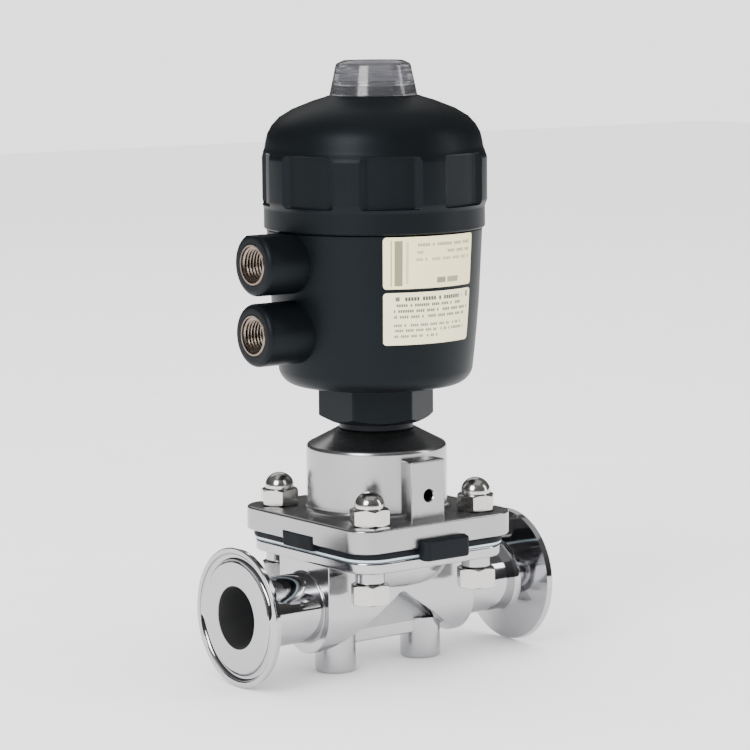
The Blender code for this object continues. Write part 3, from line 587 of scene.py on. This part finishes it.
finish(diaphragm, None, "diaphragm", "diaphragm_rubber", rubber)
for sheet in (facing, diaphragm):
    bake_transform(sheet)

# ---- Compressor, stud and pin ---------------------------------------------------------------
# Stainless compressor that presses the diaphragm onto the weir. A stud moulded into the
# rubber screws up into it and a cross pin holds it to the spindle. Turned and cross-drilled.
spindle_r = 5.0 * mm
spindle_low = 52.3 * mm
pin_z = 59.0 * mm
press_r = bowl_r - 3.7 * mm


def ring_profile(inner, outer, low, high, edge=0.25 * mm):
    """Section of a plain ring with chamfered edges."""
    return [(inner, low + edge), (inner + edge, low), (outer - edge, low), (outer, low + edge),
            (outer, high - edge), (outer - edge, high), (inner + edge, high), (inner, high - edge)]


def threaded(radius, low, high, pitch):
    """Outline of a threaded shank, root and crest turn by turn."""
    outline = []
    for turn in range(int((high - low) / pitch)):
        start = low + turn * pitch
        outline += [(radius - 0.35 * pitch, start), (radius, start + 0.4 * pitch),
                    (radius, start + 0.6 * pitch)]
    return outline + [(radius - 0.35 * pitch, high)]


press = bend(press_r, -90, -math.degrees(math.acos(16 * mm / press_r)), 16, (0.0, bowl_z))
press[0] = (0.0, bowl_z - press_r)
press += [(16 * mm, 53.4 * mm), (15.4 * mm, 54.0 * mm), (11.3 * mm, 55.8 * mm)]
press += bend(1.6 * mm, 250, 180, 5, (10.6 * mm, 57.6 * mm))
press += [(9 * mm, 63.4 * mm), (8.4 * mm, 64 * mm), (0.0, 64 * mm)]
compressor = turned("compressor_steel", press)
stud_low = weir_z + 2.7 * mm
bores = [(0, 0), (5.2 * mm, 0), (5.2 * mm, weir_z + 4 * mm), (3.2 * mm, weir_z + 4 * mm),
         (3.2 * mm, spindle_low - 0.3 * mm), (5.2 * mm, spindle_low - 0.3 * mm), (5.2 * mm, 70 * mm),
         (0, 70 * mm)]
cut(compressor, turned("bores", bores, 64))
pin_hole = plug(1.6 * mm, -20 * mm, 20 * mm)
turn_y = (math.pi / 2, 0, 0)
cut(compressor, turned("pin_hole", pin_hole, 32, turn=turn_y, at=(0, 0, pin_z)))
finish(compressor, "spindle_train", "compressor", "stainless_fastener", bright)

stud = above(stud_low, (0, 0), (4.7, 0), (5, 0.3), (5, 1))
stud += threaded(3.0 * mm, stud_low + 1.0 * mm, stud_low + 13.4 * mm, 1.0 * mm)
stud += [(2.4 * mm, stud_low + 14 * mm), (0.0, stud_low + 14 * mm)]
finish(turned("diaphragm_stud_steel", stud, 48), "spindle_train", "diaphragm_stud",
       "stainless_fastener", bright)

pin = [(0.0, -8.5 * mm), (1.2 * mm, -8.5 * mm), (1.5 * mm, -8.2 * mm), (1.5 * mm, 8.2 * mm),
       (1.2 * mm, 8.5 * mm), (0.0, 8.5 * mm)]
finish(turned("compressor_pin_steel", pin, 32, turn=turn_y, at=(0, 0, pin_z)), "spindle_train",
       "compressor_pin", "stainless_fastener", bright)

# ---- Bonnet -------------------------------------------------------------------------------
# Stainless investment casting: a square flange, a turned round neck closed by a cone and a
# flat pad with the weep hole that shows a leaking diaphragm. Brushed to a satin finish.
bonnet_top = pipe_z + 62.6 * mm
bonnet_flange_top = pipe_z + 33.0 * mm
neck_r = 25.75 * mm
shoulder_z = pipe_z + 57.6 * mm
pad_y = -31.0 * mm
weep_z = pipe_z + 41.3 * mm

satin = Finish("satin_cast_steel", Metallic=1.0)
lines = satin.noise(0.5 * mm, 2.0, (0.06, 0.06, 2.2))
grain = satin.noise(0.35 * mm, 3.0)
cloud = satin.noise(14 * mm, 3.0)
satin.set("Base Color", satin.mix(cloud, (0.34, 0.34, 0.35, 1), (0.42, 0.418, 0.42, 1)))
satin.set("Roughness", 0.19 + cloud * 0.06 + lines * 0.06)
satin.bump(lines * 0.6 + grain * 0.4, 0.014 * mm, 0.6)

bonnet = soften(slab("bonnet_steel", rounded(36 * mm, 38.5 * mm, 9.5 * mm), rubber_top,
                     bonnet_flange_top), 0.9 * mm, 4)
neck = [(0.0, rubber_top + 4 * mm), (neck_r + 2.2 * mm, rubber_top + 4 * mm),
        (neck_r + 2.2 * mm, bonnet_flange_top)]
neck += bend(2.2 * mm, 270, 180, 8, (neck_r + 2.2 * mm, bonnet_flange_top + 2.2 * mm))[1:]
neck += bend(1.8 * mm, 0, 68, 8, (neck_r - 1.8 * mm, shoulder_z - 1.8 * mm))
neck += bend(0.8 * mm, 68, 90, 3, (14.6 * mm, bonnet_top - 0.8 * mm)) + [(0.0, bonnet_top)]
join(bonnet, turned("neck", neck, 128))
pad = slab("pad", rounded(7.6 * mm, 6.0 * mm, 0.9 * mm, 4), bonnet_flange_top - 3 * mm,
           pipe_z + 54.2 * mm, at=(0, pad_y + 6.0 * mm, 0))
join(bonnet, soften(pad, 0.8 * mm, 4))
cut(bonnet, turned("weep", [(0, 10 * mm), (2.2 * mm, 10 * mm), (2.2 * mm, 30.6 * mm),
                            (2.8 * mm, 31.4 * mm), (0, 31.4 * mm)], 48, turn=(math.pi / 2, 0, 0),
                   at=(0, 0, weep_z)))
chamber = above(rubber_top, (0, -1), (20.6, -1))
chamber += above(shoulder_z, (20.6, -6), (18.6, -4), (12.1, -4))
chamber += above(bonnet_top, (12.1, 1), (0, 1))
cut(bonnet, turned("chamber", chamber))
for side in (-1, 1):
    for half_x, half_y, spot in ((10.6 * mm, 5 * mm, (0, side * 38.9 * mm, 0)),
                                 (5 * mm, 9.4 * mm, (side * 37.0 * mm, 0, 0))):
        notch = slab("notch", rounded(half_x, half_y, 0.3 * mm, 2), rubber_top - mm, notch_top, at=spot)
        cut(bonnet, notch)
for x, y in bolt_spots:
    cut(bonnet, turned("hole", plug(4.2 * mm, 0, 80 * mm), 32, at=(x, y, 0)))
finish(bonnet, "valve", "bonnet", "stainless_satin", satin)

# ---- Adapter nipple ------------------------------------------------------------------------
# Turned steel nipple, screwed into the bonnet below and the plastic neck above. Its steel is coloured near
# black as painted shade, for the shadow in the gap.
# Only its collar shows, in the gap between the two.
hex_low = pipe_z + 65.5 * mm
nipple = above(shoulder_z, (8.1, -3.6), (11.9, -3.6))
nipple += above(bonnet_top, (12, 0.1), (13.2, 0.1), (13.6, 0.5))
nipple += above(hex_low, (13.6, -0.5), (13.2, -0.1), (12, -0.1), (11.9, 9), (8.1, 9))
nipple_shade = Finish("nipple_steel_painted_shade", Metallic=1.0)
shade_mottle = nipple_shade.noise(1.5 * mm, 4.0)
# Near-black base colour with a random mottle: painted shade on plain steel, standing for the shadow in the
# gap under the hexagon.
nipple_shade.set("Base Color", nipple_shade.mix(shade_mottle, (0.010, 0.011, 0.013, 1), (0.022, 0.023, 0.025, 1)))
nipple_shade.set("Roughness", 0.34 + shade_mottle * 0.2)
nipple_shade.bump(nipple_shade.noise(0.4 * mm, 2.0, (0.1, 0.1, 3.0)), 0.01 * mm)
finish(turned("adapter_nipple_steel", nipple, 96, closed=True), "valve", "adapter_nipple",
       "stainless_fastener", nipple_shade)

# ---- Spindle, bush and wiper -------------------------------------------------------------------
# Ground stainless spindle from the compressor up to the piston, guided by a plastic bush in
# the nipple and wiped by a rubber ring above it. A lip seal and its retainer close the cylinder.
piston_low, piston_high = 131 * mm, 141 * mm
stem_top = piston_high + 9.5 * mm
cylinder_floor = pipe_z + 85.3 * mm

shaft = [(0.0, spindle_low), (4.6 * mm, spindle_low), (spindle_r, spindle_low + 0.4 * mm),
         (spindle_r, piston_low - 0.6 * mm), (4.7 * mm, piston_low - 0.3 * mm),
         (4.0 * mm, piston_low - 0.3 * mm), (4.0 * mm, piston_high + 1.6 * mm)]
shaft += threaded(4.0 * mm, piston_high + 1.8 * mm, stem_top - 0.4 * mm, 1.0 * mm)
shaft += [(3.4 * mm, stem_top), (0.0, stem_top)]
spindle = turned("spindle_steel", shaft, 64)
cut(spindle, turned("pin_hole", pin_hole, 32, turn=turn_y, at=(0, 0, pin_z)))
finish(spindle, "spindle_train", "spindle", "stainless_fastener", bright)

bearing = Finish("bearing_plastic", Roughness=0.45)
flecks = bearing.noise(0.3 * mm, 3.0)
bearing.set("Base Color", bearing.mix(flecks, (0.36, 0.30, 0.18, 1), (0.48, 0.42, 0.28, 1)))
bearing.bump(bearing.noise(0.2 * mm, 2.0, (1, 1, 4)), 0.01 * mm)
seal_black = Finish("seal_rubber")
dust = seal_black.noise(1.5 * mm, 4.0)
seal_black.set("Base Color", seal_black.mix(dust, (0.012, 0.012, 0.013, 1), (0.025, 0.025, 0.026, 1)))
seal_black.set("Roughness", 0.45 + dust * 0.25)
seal_black.bump(seal_black.noise(0.15 * mm, 2.0), 0.008 * mm)

nipple_low, nipple_high = shoulder_z - 3.6 * mm, hex_low + 9 * mm
bush_ring = ring_profile(5.2 * mm, 7.8 * mm, nipple_low + 0.3 * mm, nipple_high - 3 * mm, 0.4 * mm)
finish(turned("spindle_bush_plastic", bush_ring, 96, closed=True), "valve", "spindle_bush",
       "bearing_plastic", bearing)
lip_low = nipple_high - 2.6 * mm
wiper = above(lip_low, (5.2, 0.6), (5.7, 0), (7.6, 0), (7.8, 0.2), (7.8, 2.2), (7.6, 2.4), (6.8, 2.4),
              (6.2, 1.2), (5.4, 2.3))
finish(turned("wiper_ring_rubber", wiper, 96, closed=True), "valve", "wiper_ring", "seal_rubber",
       seal_black)
seal_low = hex_low + 10.2 * mm
lip = above(seal_low, (5.2, 0.4), (5.6, 0), (7.8, 0), (8.1, 0.3), (8.1, 3.8), (7.5, 4), (6.9, 2),
            (6.3, 2), (5.6, 4), (5.2, 3.6))
finish(turned("spindle_seal_rubber", lip, 96, closed=True), "actuator", "spindle_seal", "seal_rubber",
       seal_black)
retainer = ring_profile(5.3 * mm, 8.1 * mm, seal_low + 4.4 * mm, cylinder_floor - 0.3 * mm, 0.5 * mm)
finish(turned("seal_retainer_steel", retainer, 96, closed=True), "actuator", "seal_retainer",
       "stainless_fastener", bright)

# ---- Piston ---------------------------------------------------------------------------------------
# Turned aluminium piston clamped on the spindle's shoulder by a nut, with a rubber seal and a
# guide ring in its grooves. The pressed steel seat on top centres both springs.
alloy = Finish("turned_aluminium", Metallic=1.0)
rings = alloy.noise(0.25 * mm, 2.0, (0.05, 0.05, 4.0))
dull = alloy.noise(8 * mm, 3.0)
alloy.set("Base Color", alloy.mix(dull, (0.58, 0.59, 0.60, 1), (0.70, 0.71, 0.72, 1)))
alloy.set("Roughness", 0.24 + rings * 0.14 + dull * 0.08)
alloy.bump(rings, 0.012 * mm)

piston_r = 32 * mm
disc = [(4.1 * mm, piston_low), (9.6 * mm, piston_low), (10 * mm, piston_low + 0.4 * mm),
        (10 * mm, piston_low + 2.4 * mm), (10.6 * mm, piston_low + 3 * mm),
        (23.6 * mm, piston_low + 3 * mm), (26 * mm, piston_low), (31.5 * mm, piston_low),
        (piston_r, piston_low + 0.5 * mm), (piston_r, piston_low + 2.4 * mm),
        (28.6 * mm, piston_low + 2.4 * mm), (28.6 * mm, piston_low + 5.6 * mm),
        (piston_r, piston_low + 5.6 * mm), (piston_r, piston_low + 7 * mm),
        (30.4 * mm, piston_low + 7 * mm), (30.4 * mm, piston_low + 9 * mm),
        (piston_r, piston_low + 9 * mm), (piston_r, piston_high - 0.4 * mm), (31.6 * mm, piston_high),
        (4.1 * mm, piston_high)]
finish(turned("piston_disc", disc, 128, closed=True), "spindle_train", "piston", "piston_aluminium", alloy)
groove_low = piston_low + 2.7 * mm
cup = above(groove_low, (28.9, 0), (31.6, 0), (32.3, 0.5), (31.8, 1), (31.8, 1.6), (32.3, 2.1),
            (31.6, 2.6), (28.9, 2.6))
finish(turned("piston_seal_rubber", cup, 128, closed=True), "spindle_train", "piston_seal",
       "seal_rubber", seal_black)
guide = ring_profile(30.7 * mm, 32.25 * mm, piston_low + 7.3 * mm, piston_low + 8.7 * mm, 0.15 * mm)
finish(turned("piston_guide_plastic", guide, 128, closed=True), "spindle_train", "piston_guide_ring",
       "bearing_plastic", bearing)
seat_low = piston_high + 0.3 * mm
seat = [(4.2 * mm, seat_low), (28.2 * mm, seat_low)]
seat += bend(0.8 * mm, -90, 0, 4, (28.2 * mm, seat_low + 0.8 * mm))[1:]
seat += above(seat_low, (29, 2.5), (28.8, 2.7), (28.2, 2.7), (28, 2.5), (28, 1.6), (27.6, 1.2), (4.2, 1.2))
finish(turned("spring_seat_steel", seat, 128, closed=True), "spindle_train", "spring_seat",
       "stainless_fastener", bright)
nut_low = piston_high + 1.8 * mm
clamp_nut = chamfered_hex("piston_nut_steel", hex_r, nut_low, nut_low + 6 * mm)
cut(clamp_nut, turned("thread", plug(4.15 * mm, nut_low - mm, nut_low + 7 * mm), 48))
finish(clamp_nut, "spindle_train", "piston_nut", "stainless_fastener", bright)

# ---- Lower housing ---------------------------------------------------------------------------
# Injection-moulded glass-filled polyamide: hexagon neck, tapered barrel and the two air-port
# bosses in one shot. Satin moulded skin with a fine spark-eroded texture.
housing_low = pipe_z + 79.3 * mm
housing_top = pipe_z + 136.1 * mm
port_face = 54.5 * mm
port_zs = (pipe_z + 125.8 * mm, pipe_z + 100.6 * mm)

polyamide = Finish("black_polyamide", Specular_IOR_Level=0.15, Specular_Tint=(0.80, 0.92, 1.0, 1))
skin = polyamide.noise(0.22 * mm, 3.0)
flow = polyamide.noise(18 * mm, 4.0)
polyamide.set("Base Color", polyamide.mix(flow, (0.0018, 0.0024, 0.0030, 1), (0.0032, 0.0042, 0.0054, 1)))
polyamide.set("Roughness", 0.36 + flow * 0.08 + skin * 0.05)
polyamide.bump(skin, 0.012 * mm, 0.7)

barrel = [(0.0, housing_low)]
barrel += bend(7.0 * mm, -90, -12, 10, (28.6 * mm, housing_low + 7.0 * mm))
barrel += above(pipe_z, (36.3, 92.5), (37.1, 100.6), (37.8, 109), (38.5, 122))
barrel += above(housing_top, (39.2, -0.3), (38.9, 0), (0, 0))
housing = turned("lower_housing_shell", barrel, 160)
neck_corner = 37.0 * mm / math.sqrt(3.0)
hexagon = soften(slab("hexagon", hex_outline(neck_corner, 30.0), hex_low - mm, housing_low + 4 * mm),
                 0.8 * mm, 4, 40.0)
underside = [(0.0, hex_low)] + bend(0.9 * mm, -90, -60, 4, (16.4 * mm, hex_low + 0.9 * mm))
underside += [(neck_corner + mm, hex_low + 2.9 * mm), (neck_corner + mm, housing_low + 3 * mm),
              (0.0, housing_low + 3 * mm)]
combine(hexagon, "INTERSECT", turned("chamfer", underside, 96))
join(housing, hexagon)
boss = [(0.0, port_face), (8.9 * mm, port_face)]
boss += bend(2.0 * mm, 90, 0, 8, (9.3 * mm, port_face - 2.0 * mm))[1:]
boss += [(11.3 * mm, 34 * mm), (0.0, 34 * mm)]
for z in port_zs:
    stub = turned("stub", [(r, -x) for r, x in boss], 96, turn=turn_x, at=(0, 0, z))
    ceiling = slab("ceiling", [(-60 * mm, -30 * mm), (-20 * mm, -30 * mm), (-20 * mm, 30 * mm),
                               (-60 * mm, 30 * mm)], housing_top - 0.2 * mm, housing_top + 10 * mm)
    cut(stub, ceiling)
    join(housing, stub)
spigot_r = 36.0 * mm
spigot = [(0, housing_top - 2 * mm), (spigot_r, housing_top - 2 * mm),
          (spigot_r, housing_top + 2.4 * mm), (34 * mm, housing_top + 2.4 * mm),
          (34 * mm, housing_top + 4.8 * mm), (spigot_r, housing_top + 4.8 * mm),
          (spigot_r, housing_top + 7 * mm), (0, housing_top + 7 * mm)]
join(housing, turned("spigot", spigot, 128))
cylinder = plug(32.5 * mm, housing_low + 6 * mm, housing_top + 8 * mm)
cut(housing, turned("cylinder", cylinder, 128))
inner = above(hex_low, (0, -1), (12.1, -1), (12.1, 9.6), (8.2, 9.6))
inner += above(housing_low, (8.2, 7), (0, 7))
cut(housing, turned("inner", inner, 64))
for z in port_zs:
    way = [(0, -port_face - mm), (7.6 * mm, -port_face - mm), (7.6 * mm, -port_face + 12.2 * mm),
           (2.2 * mm, -port_face + 12.2 * mm), (2.2 * mm, -29 * mm), (0, -29 * mm)]
    cut(housing, turned("way", way, 64, turn=turn_x, at=(0, 0, z)))
finish(housing, "actuator", "lower_housing", "black_polyamide", polyamide)
ring = bend(0.9 * mm, 0, 345, 23, (spigot_r - 0.75 * mm, housing_top + 3.6 * mm))
finish(turned("housing_seal_ring", ring, 128, closed=True), "actuator", "housing_o_ring", "seal_rubber",
       seal_black)

# ---- Port inserts ----------------------------------------------------------------------------
# Turned stainless bushes moulded into the bosses, with a parallel pipe thread.
# The steel is tarnished a warm brown, most visibly on the thread.
insert_steel = Finish("insert_steel", Metallic=1.0)
tarnish = insert_steel.noise(2.5 * mm, 4.0)
insert_steel.set("Base Color", insert_steel.mix(tarnish, (0.13, 0.09, 0.065, 1), (0.36, 0.31, 0.26, 1)))
insert_steel.set("Roughness", 0.16 + tarnish * 0.2)
insert_steel.bump(insert_steel.noise(0.3 * mm, 2.0), 0.01 * mm)

for place, z in zip(("upper", "lower"), port_zs):
    deep = -port_face + 12.0 * mm
    bush = [(7.4 * mm, deep), (7.5 * mm, -port_face + 0.3 * mm), (7.2 * mm, -port_face - 0.15 * mm),
            (6.6 * mm, -port_face - 0.15 * mm), (6.45 * mm, -port_face + 0.6 * mm)]
    pitch = 1.337 * mm
    for thread in range(8):
        crest = -port_face + 0.9 * mm + thread * pitch
        bush += above(crest, (5.75, 0), (5.75, 0.25), (6.45, 0.62), (6.45, 0.85))
    bush += [(5.9 * mm, deep)]
    insert = turned(f"port_insert_{place}_bush", bush, 96, closed=True, turn=turn_x, at=(0, 0, z))
    finish(insert, "actuator", f"port_insert_{place}", "stainless_fastener", insert_steel, sharp=25.0)

# ---- Upper cap ---------------------------------------------------------------------------------
# Moulded screw cap of the same polyamide: a plain lip, eight grip blocks with shallow pockets
# between them and a smooth dome. A spanner turns it by the blocks.
cap_low = housing_top + 0.2 * mm
cap_top = pipe_z + 184.0 * mm
block_low, block_high = pipe_z + 145.2 * mm, pipe_z + 163.9 * mm
pocket_r = 39.1 * mm
dome = above(cap_low, (36.3, 0), (39.7, 0), (40.2, 0.5)) + above(block_low, (40.2, -1.6))
dome += [(40.7 * mm - 0.5 * mm * math.cos(math.pi * share),
          block_low - 1.6 * mm + 3.2 * mm * share) for share in (0.2, 0.4, 0.6, 0.8, 1.0)]
dome += [(40.4 * mm + 0.8 * mm * math.cos(math.pi * share), block_high - 2.4 * mm + 4.6 * mm * share)
         for share in (0.0, 0.15, 0.3, 0.45, 0.6, 0.75, 0.9)]
crown = [(39.25, 167.9), (38.6, 170.6), (37.0, 173.5), (34.3, 176.4), (29.5, 179.3), (22.1, 182.2)]
dome += [(radius * mm, pipe_z + height * mm) for radius, height in crown]
dome += above(cap_top, (17.6, -0.45), (16.8, -0.1), (16.3, 0))
dome += above(cap_top, (14.4, 0), (14.4, -2), (12.4, -2), (12.4, -6), (4.6, -6), (4.6, -12.4),
              (30, -12.4), (35, -20.4))
dome += above(housing_top, (35.4, 8.5), (36.3, 7.8))
upper_cap = turned("upper_cap_shell", dome, 160, closed=True)
floor_half, mouth_half = 12.6, 16.2
pocket_outline = bend(pocket_r, -floor_half, floor_half, 10)
pocket_outline += [(44 * mm * math.cos(math.radians(a)),
                    44 * mm * math.sin(math.radians(a))) for a in (mouth_half + 3.6, -mouth_half - 3.6)]
for number in range(8):
    pocket = soften(slab("pocket", pocket_outline, block_low - 0.1 * mm, block_high + 0.1 * mm),
                    0.7 * mm, 3, 30.0)
    pocket.rotation_euler = (0, 0, math.radians(-118.5 + 45.0 * number))
    cut(upper_cap, settle(pocket))
finish(upper_cap, "actuator", "upper_cap", "black_polyamide", polyamide)

# ---- Springs ---------------------------------------------------------------------------------------
# Two oil-tempered wire springs, one inside the other, push the piston down. Each is coiled with
# closed end turns and stands between the seat and the cap's ceiling.
spring_low, spring_high = piston_high + 1.8 * mm, cap_top - 12.7 * mm
oiled = Finish("spring_wire", Metallic=1.0)
scale_marks = oiled.noise(1.2 * mm, 4.0)
oiled.set("Base Color", oiled.mix(scale_marks, (0.10, 0.105, 0.12, 1), (0.22, 0.22, 0.23, 1)))
oiled.set("Roughness", 0.30 + scale_marks * 0.2)
oiled.bump(scale_marks, 0.015 * mm)


def coil_path(radius, wire, turns, steps=28):
    """Points of a compression spring whose first and last turns lie closed."""
    bottom, top = spring_low + wire, spring_high - wire
    free = (top - bottom - 2.2 * wire * 2) / (turns - 2)
    points, z = [], bottom
    for step in range(turns * steps + 1):
        turn = step / steps
        points.append((radius * math.cos(math.tau * turn), radius * math.sin(math.tau * turn), z))
        z += (2.2 * wire if turn < 1 or turn >= turns - 1 else free) / steps
    return points


for name, radius, wire, turns in (("outer_spring", 25 * mm, 2.0 * mm, 6),
                                  ("inner_spring", 15 * mm, 1.5 * mm, 8)):
    path = coil_path(radius, wire, turns)
    coil = start_piece(f"{name}_coil", path[0])
    draw(path)
    bpy.ops.object.mode_set(mode="OBJECT")
    bpy.ops.object.convert(target="CURVE")
    coil = bpy.context.object
    coil.data.bevel_depth = wire
    coil.data.bevel_resolution = 4
    coil.data.use_fill_caps = True
    bpy.ops.object.convert(target="MESH")
    coil = bpy.context.object
    finish(coil, "actuator", name, "spring_steel", oiled, sharp=50.0)
    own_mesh(coil)

# ---- Position indicator -----------------------------------------------------------------------------
# Moulded grey rod screwed on the spindle's end. Its mushroom head stands in the smoked cap and
# rises with the piston.
signal = Finish("indicator_grey", Coat_Weight=0.2)
tone = signal.noise(3 * mm, 3.0)
signal.set("Base Color", signal.mix(tone, (0.16, 0.165, 0.17, 1), (0.24, 0.245, 0.25, 1)))
signal.set("Roughness", 0.35 + tone * 0.15)
signal.bump(signal.noise(0.3 * mm, 2.0), 0.01 * mm)
head_low = cap_top - 2.6 * mm
rod = above(stem_top, (0, 0.3), (3.7, 0.3), (4, 0.6), (4, 4), (3, 5))
rod += above(head_low, (3, -0.6), (3.6, 0), (6.6, 0), (7, 0.4), (7, 3.8))
rod += bend(1.0 * mm, 0, 80, 5, (6.0 * mm, head_low + 3.8 * mm)) + [(0.0, head_low + 4.8 * mm)]
finish(turned("position_indicator_rod", rod, 64), "spindle_train", "position_indicator",
       "indicator_grey", signal)

# ---- Indicator cap --------------------------------------------------------------------------------
# Smoked transparent polycarbonate cap, screwed into the top so that the indicator can be seen.
# Thick walls with moulded rings inside, which catch the light.
smoked = Finish("smoked_polycarbonate", Transmission_Weight=0.92, IOR=1.52)
smoked.set("Base Color", smoked.mix(smoked.noise(6 * mm, 2.0), (0.30, 0.30, 0.325, 1),
                                    (0.37, 0.37, 0.395, 1)))
smoked.set("Roughness", 0.10 + smoked.noise(2 * mm, 3.0) * 0.10)

lens_top = pipe_z + 196.6 * mm
lens = above(lens_top, (0, -0.5), (8.8, -0.5), (9.6, -0.05), (10.8, 0))
lens += bend(1.6 * mm, 80, 14, 5, (12.1 * mm, lens_top - 2.3 * mm))
lens += above(cap_top, (15.75, 0.9), (15.9, 0.4), (15.9, 0.1), (12.1, 0.1), (12.1, -5.2), (10.6, -5.2),
              (10.9, 1), (12.9, 1.8), (13.1, 3.4), (12.2, 4), (12.2, 4.7), (12.7, 5.2), (12.4, 7.6),
              (11.4, 8.2), (11.3, 9))
lens += above(lens_top, (9.4, -1.9), (0, -1.9))
finish(turned("indicator_cap_clear", lens, 128), "actuator", "indicator_cap", "smoked_clear", smoked)
ring = bend(0.8 * mm, 0, 345, 23, (13.4 * mm, cap_top - 1.0 * mm))
finish(turned("indicator_cap_seal_ring", ring, 128, closed=True), "actuator", "indicator_cap_seal",
       "seal_rubber", seal_black)

# ---- Labels -----------------------------------------------------------------------------------------
# Two printed films with rounded corners, stuck one above the other on the barrel.
# Pale cream stock; the print is plain bars and dashes that spell nothing.
label_start, label_end = math.radians(-122.9), math.radians(-65.3)
label_width = 38.3 * mm * (label_end - label_start)


def barrel_radius(z):
    """Skin of the barrel at height z."""
    spots = [(r, h) for r, h in barrel if h > housing_low + 5 * mm and r > 30 * mm]
    for (r0, h0), (r1, h1) in zip(spots, spots[1:]):
        if h0 <= z <= h1:
            return r0 + (r1 - r0) * (z - h0) / (h1 - h0)
    return spots[-2][0]


def wrapped_label(name, low, high, node, printing):
    """Film cut flat, sliced so it can curve, given its own UV map, then laid on the barrel."""
    half_width, half_height = label_width / 2, (high - low) / 2
    film_piece = slab(name, rounded(half_width, half_height, 1.3 * mm, 6), 0.0, 0.14 * mm)
    bpy.ops.object.mode_set(mode="EDIT")
    slices = 36
    for number in range(1, slices):
        bpy.ops.mesh.select_all(action="SELECT")
        x = -half_width + 2 * half_width * number / slices
        bpy.ops.mesh.bisect(plane_co=(x, 0, 0), plane_no=(1, 0, 0))
    for y in (-half_height * 0.55, 0.0, half_height * 0.55):
        bpy.ops.mesh.select_all(action="SELECT")
        bpy.ops.mesh.bisect(plane_co=(0, y, 0), plane_no=(0, 1, 0))
    bpy.ops.object.mode_set(mode="OBJECT")
    mesh = film_piece.data
    chart = mesh.uv_layers.new(name="print")
    for loop in mesh.loops:
        spot = mesh.vertices[loop.vertex_index].co
        chart.data[loop.index].uv = (0.5 + spot.x / (2 * half_width), 0.5 + spot.y / (2 * half_height))
    for vertex in mesh.vertices:
        x, y, lift = vertex.co
        z = (low + high) / 2 + y
        angle = (label_start + label_end) / 2 + x / (38.3 * mm)
        radius = barrel_radius(z) + 0.04 * mm + lift
        vertex.co = (radius * math.cos(angle), radius * math.sin(angle), z)
    return finish(film_piece, "actuator", node, "label_film", printing, sharp=50.0)


def print_finish(name, rows, blocks, stock=(0.80, 0.73, 0.40)):
    """Label print on the label's UV map, from 0 to 1 across and up.

    A row of dashes is (low, start, end, tall, boldness), a block (left, right, low, high, boldness).
    """
    label = Finish(name, Specular_IOR_Level=0.4)
    chart = label.node("UVMap", {"uv_map": "print"})
    parts = label.tree.nodes.new("ShaderNodeSeparateXYZ")
    label.tree.links.new(chart.socket, parts.inputs[0])
    across, up = Value(label.tree, parts.outputs[0]), Value(label.tree, parts.outputs[1])
    ink = None
    for number, (low, start, end, tall, bold) in enumerate(rows):
        stroke = across * (3.4 / tall) + number * 7.3
        chance = label.node("TexWhiteNoise", {"noise_dimensions": "1D"}, W=stroke.math("FLOOR"))
        row = (up > low) * (up < low + tall * 0.72) * (across > start) * (across < end)
        mark = row * (chance > 0.2) * (stroke.math("FRACT") < 0.8) * (bold * 1.35)
        ink = mark if ink is None else ink.math("MAXIMUM", mark)
    for left, right, low, high, bold in blocks:
        mark = (across > left) * (across < right) * (up > low) * (up < high) * (bold * 1.25)
        ink = mark if ink is None else ink.math("MAXIMUM", mark)
    fade = label.noise(4 * mm, 3.0)
    paper = label.mix(fade, (*stock, 1), (stock[0] * 1.05, stock[1] * 1.04, stock[2] * 1.1, 1))
    label.set("Base Color", label.mix(ink, paper, (0.03, 0.035, 0.03, 1)))
    label.set("Roughness", 0.38 + fade * 0.12)
    label.bump(label.noise(0.5 * mm, 2.0), 0.004 * mm)
    return label


rating_rows = [(0.81, 0.31, 0.95, 0.085, 0.50), (0.67, 0.31, 0.38, 0.08, 0.45),
               (0.67, 0.60, 0.95, 0.08, 0.50), (0.53, 0.31, 0.95, 0.08, 0.42)]
rating_blocks = [(0.070, 0.080, 0.05, 0.94, 0.55), (0.105, 0.180, 0.06, 0.93, 0.62),
                 (0.212, 0.236, 0.10, 0.90, 0.28), (0.53, 0.63, 0.09, 0.20, 0.62),
                 (0.65, 0.79, 0.09, 0.20, 0.55)]
notice_rows = [(0.84, 0.20, 0.86, 0.10, 0.72), (0.73, 0.10, 0.84, 0.075, 0.66),
               (0.62, 0.10, 0.95, 0.075, 0.66), (0.51, 0.10, 0.93, 0.075, 0.62),
               (0.35, 0.10, 0.88, 0.07, 0.60), (0.25, 0.10, 0.91, 0.07, 0.60),
               (0.14, 0.10, 0.58, 0.07, 0.60)]
notice_blocks = [(0.92, 0.955, 0.84, 0.95, 0.66), (0.115, 0.155, 0.84, 0.92, 0.70)]
wrapped_label("rating_label_film", pipe_z + 117.2 * mm, pipe_z + 135.6 * mm, "rating_label",
              print_finish("rating_print", rating_rows, rating_blocks))
wrapped_label("notice_label_film", pipe_z + 97.2 * mm, pipe_z + 115.9 * mm, "notice_label",
              print_finish("notice_print", notice_rows, notice_blocks, (0.79, 0.74, 0.46)))
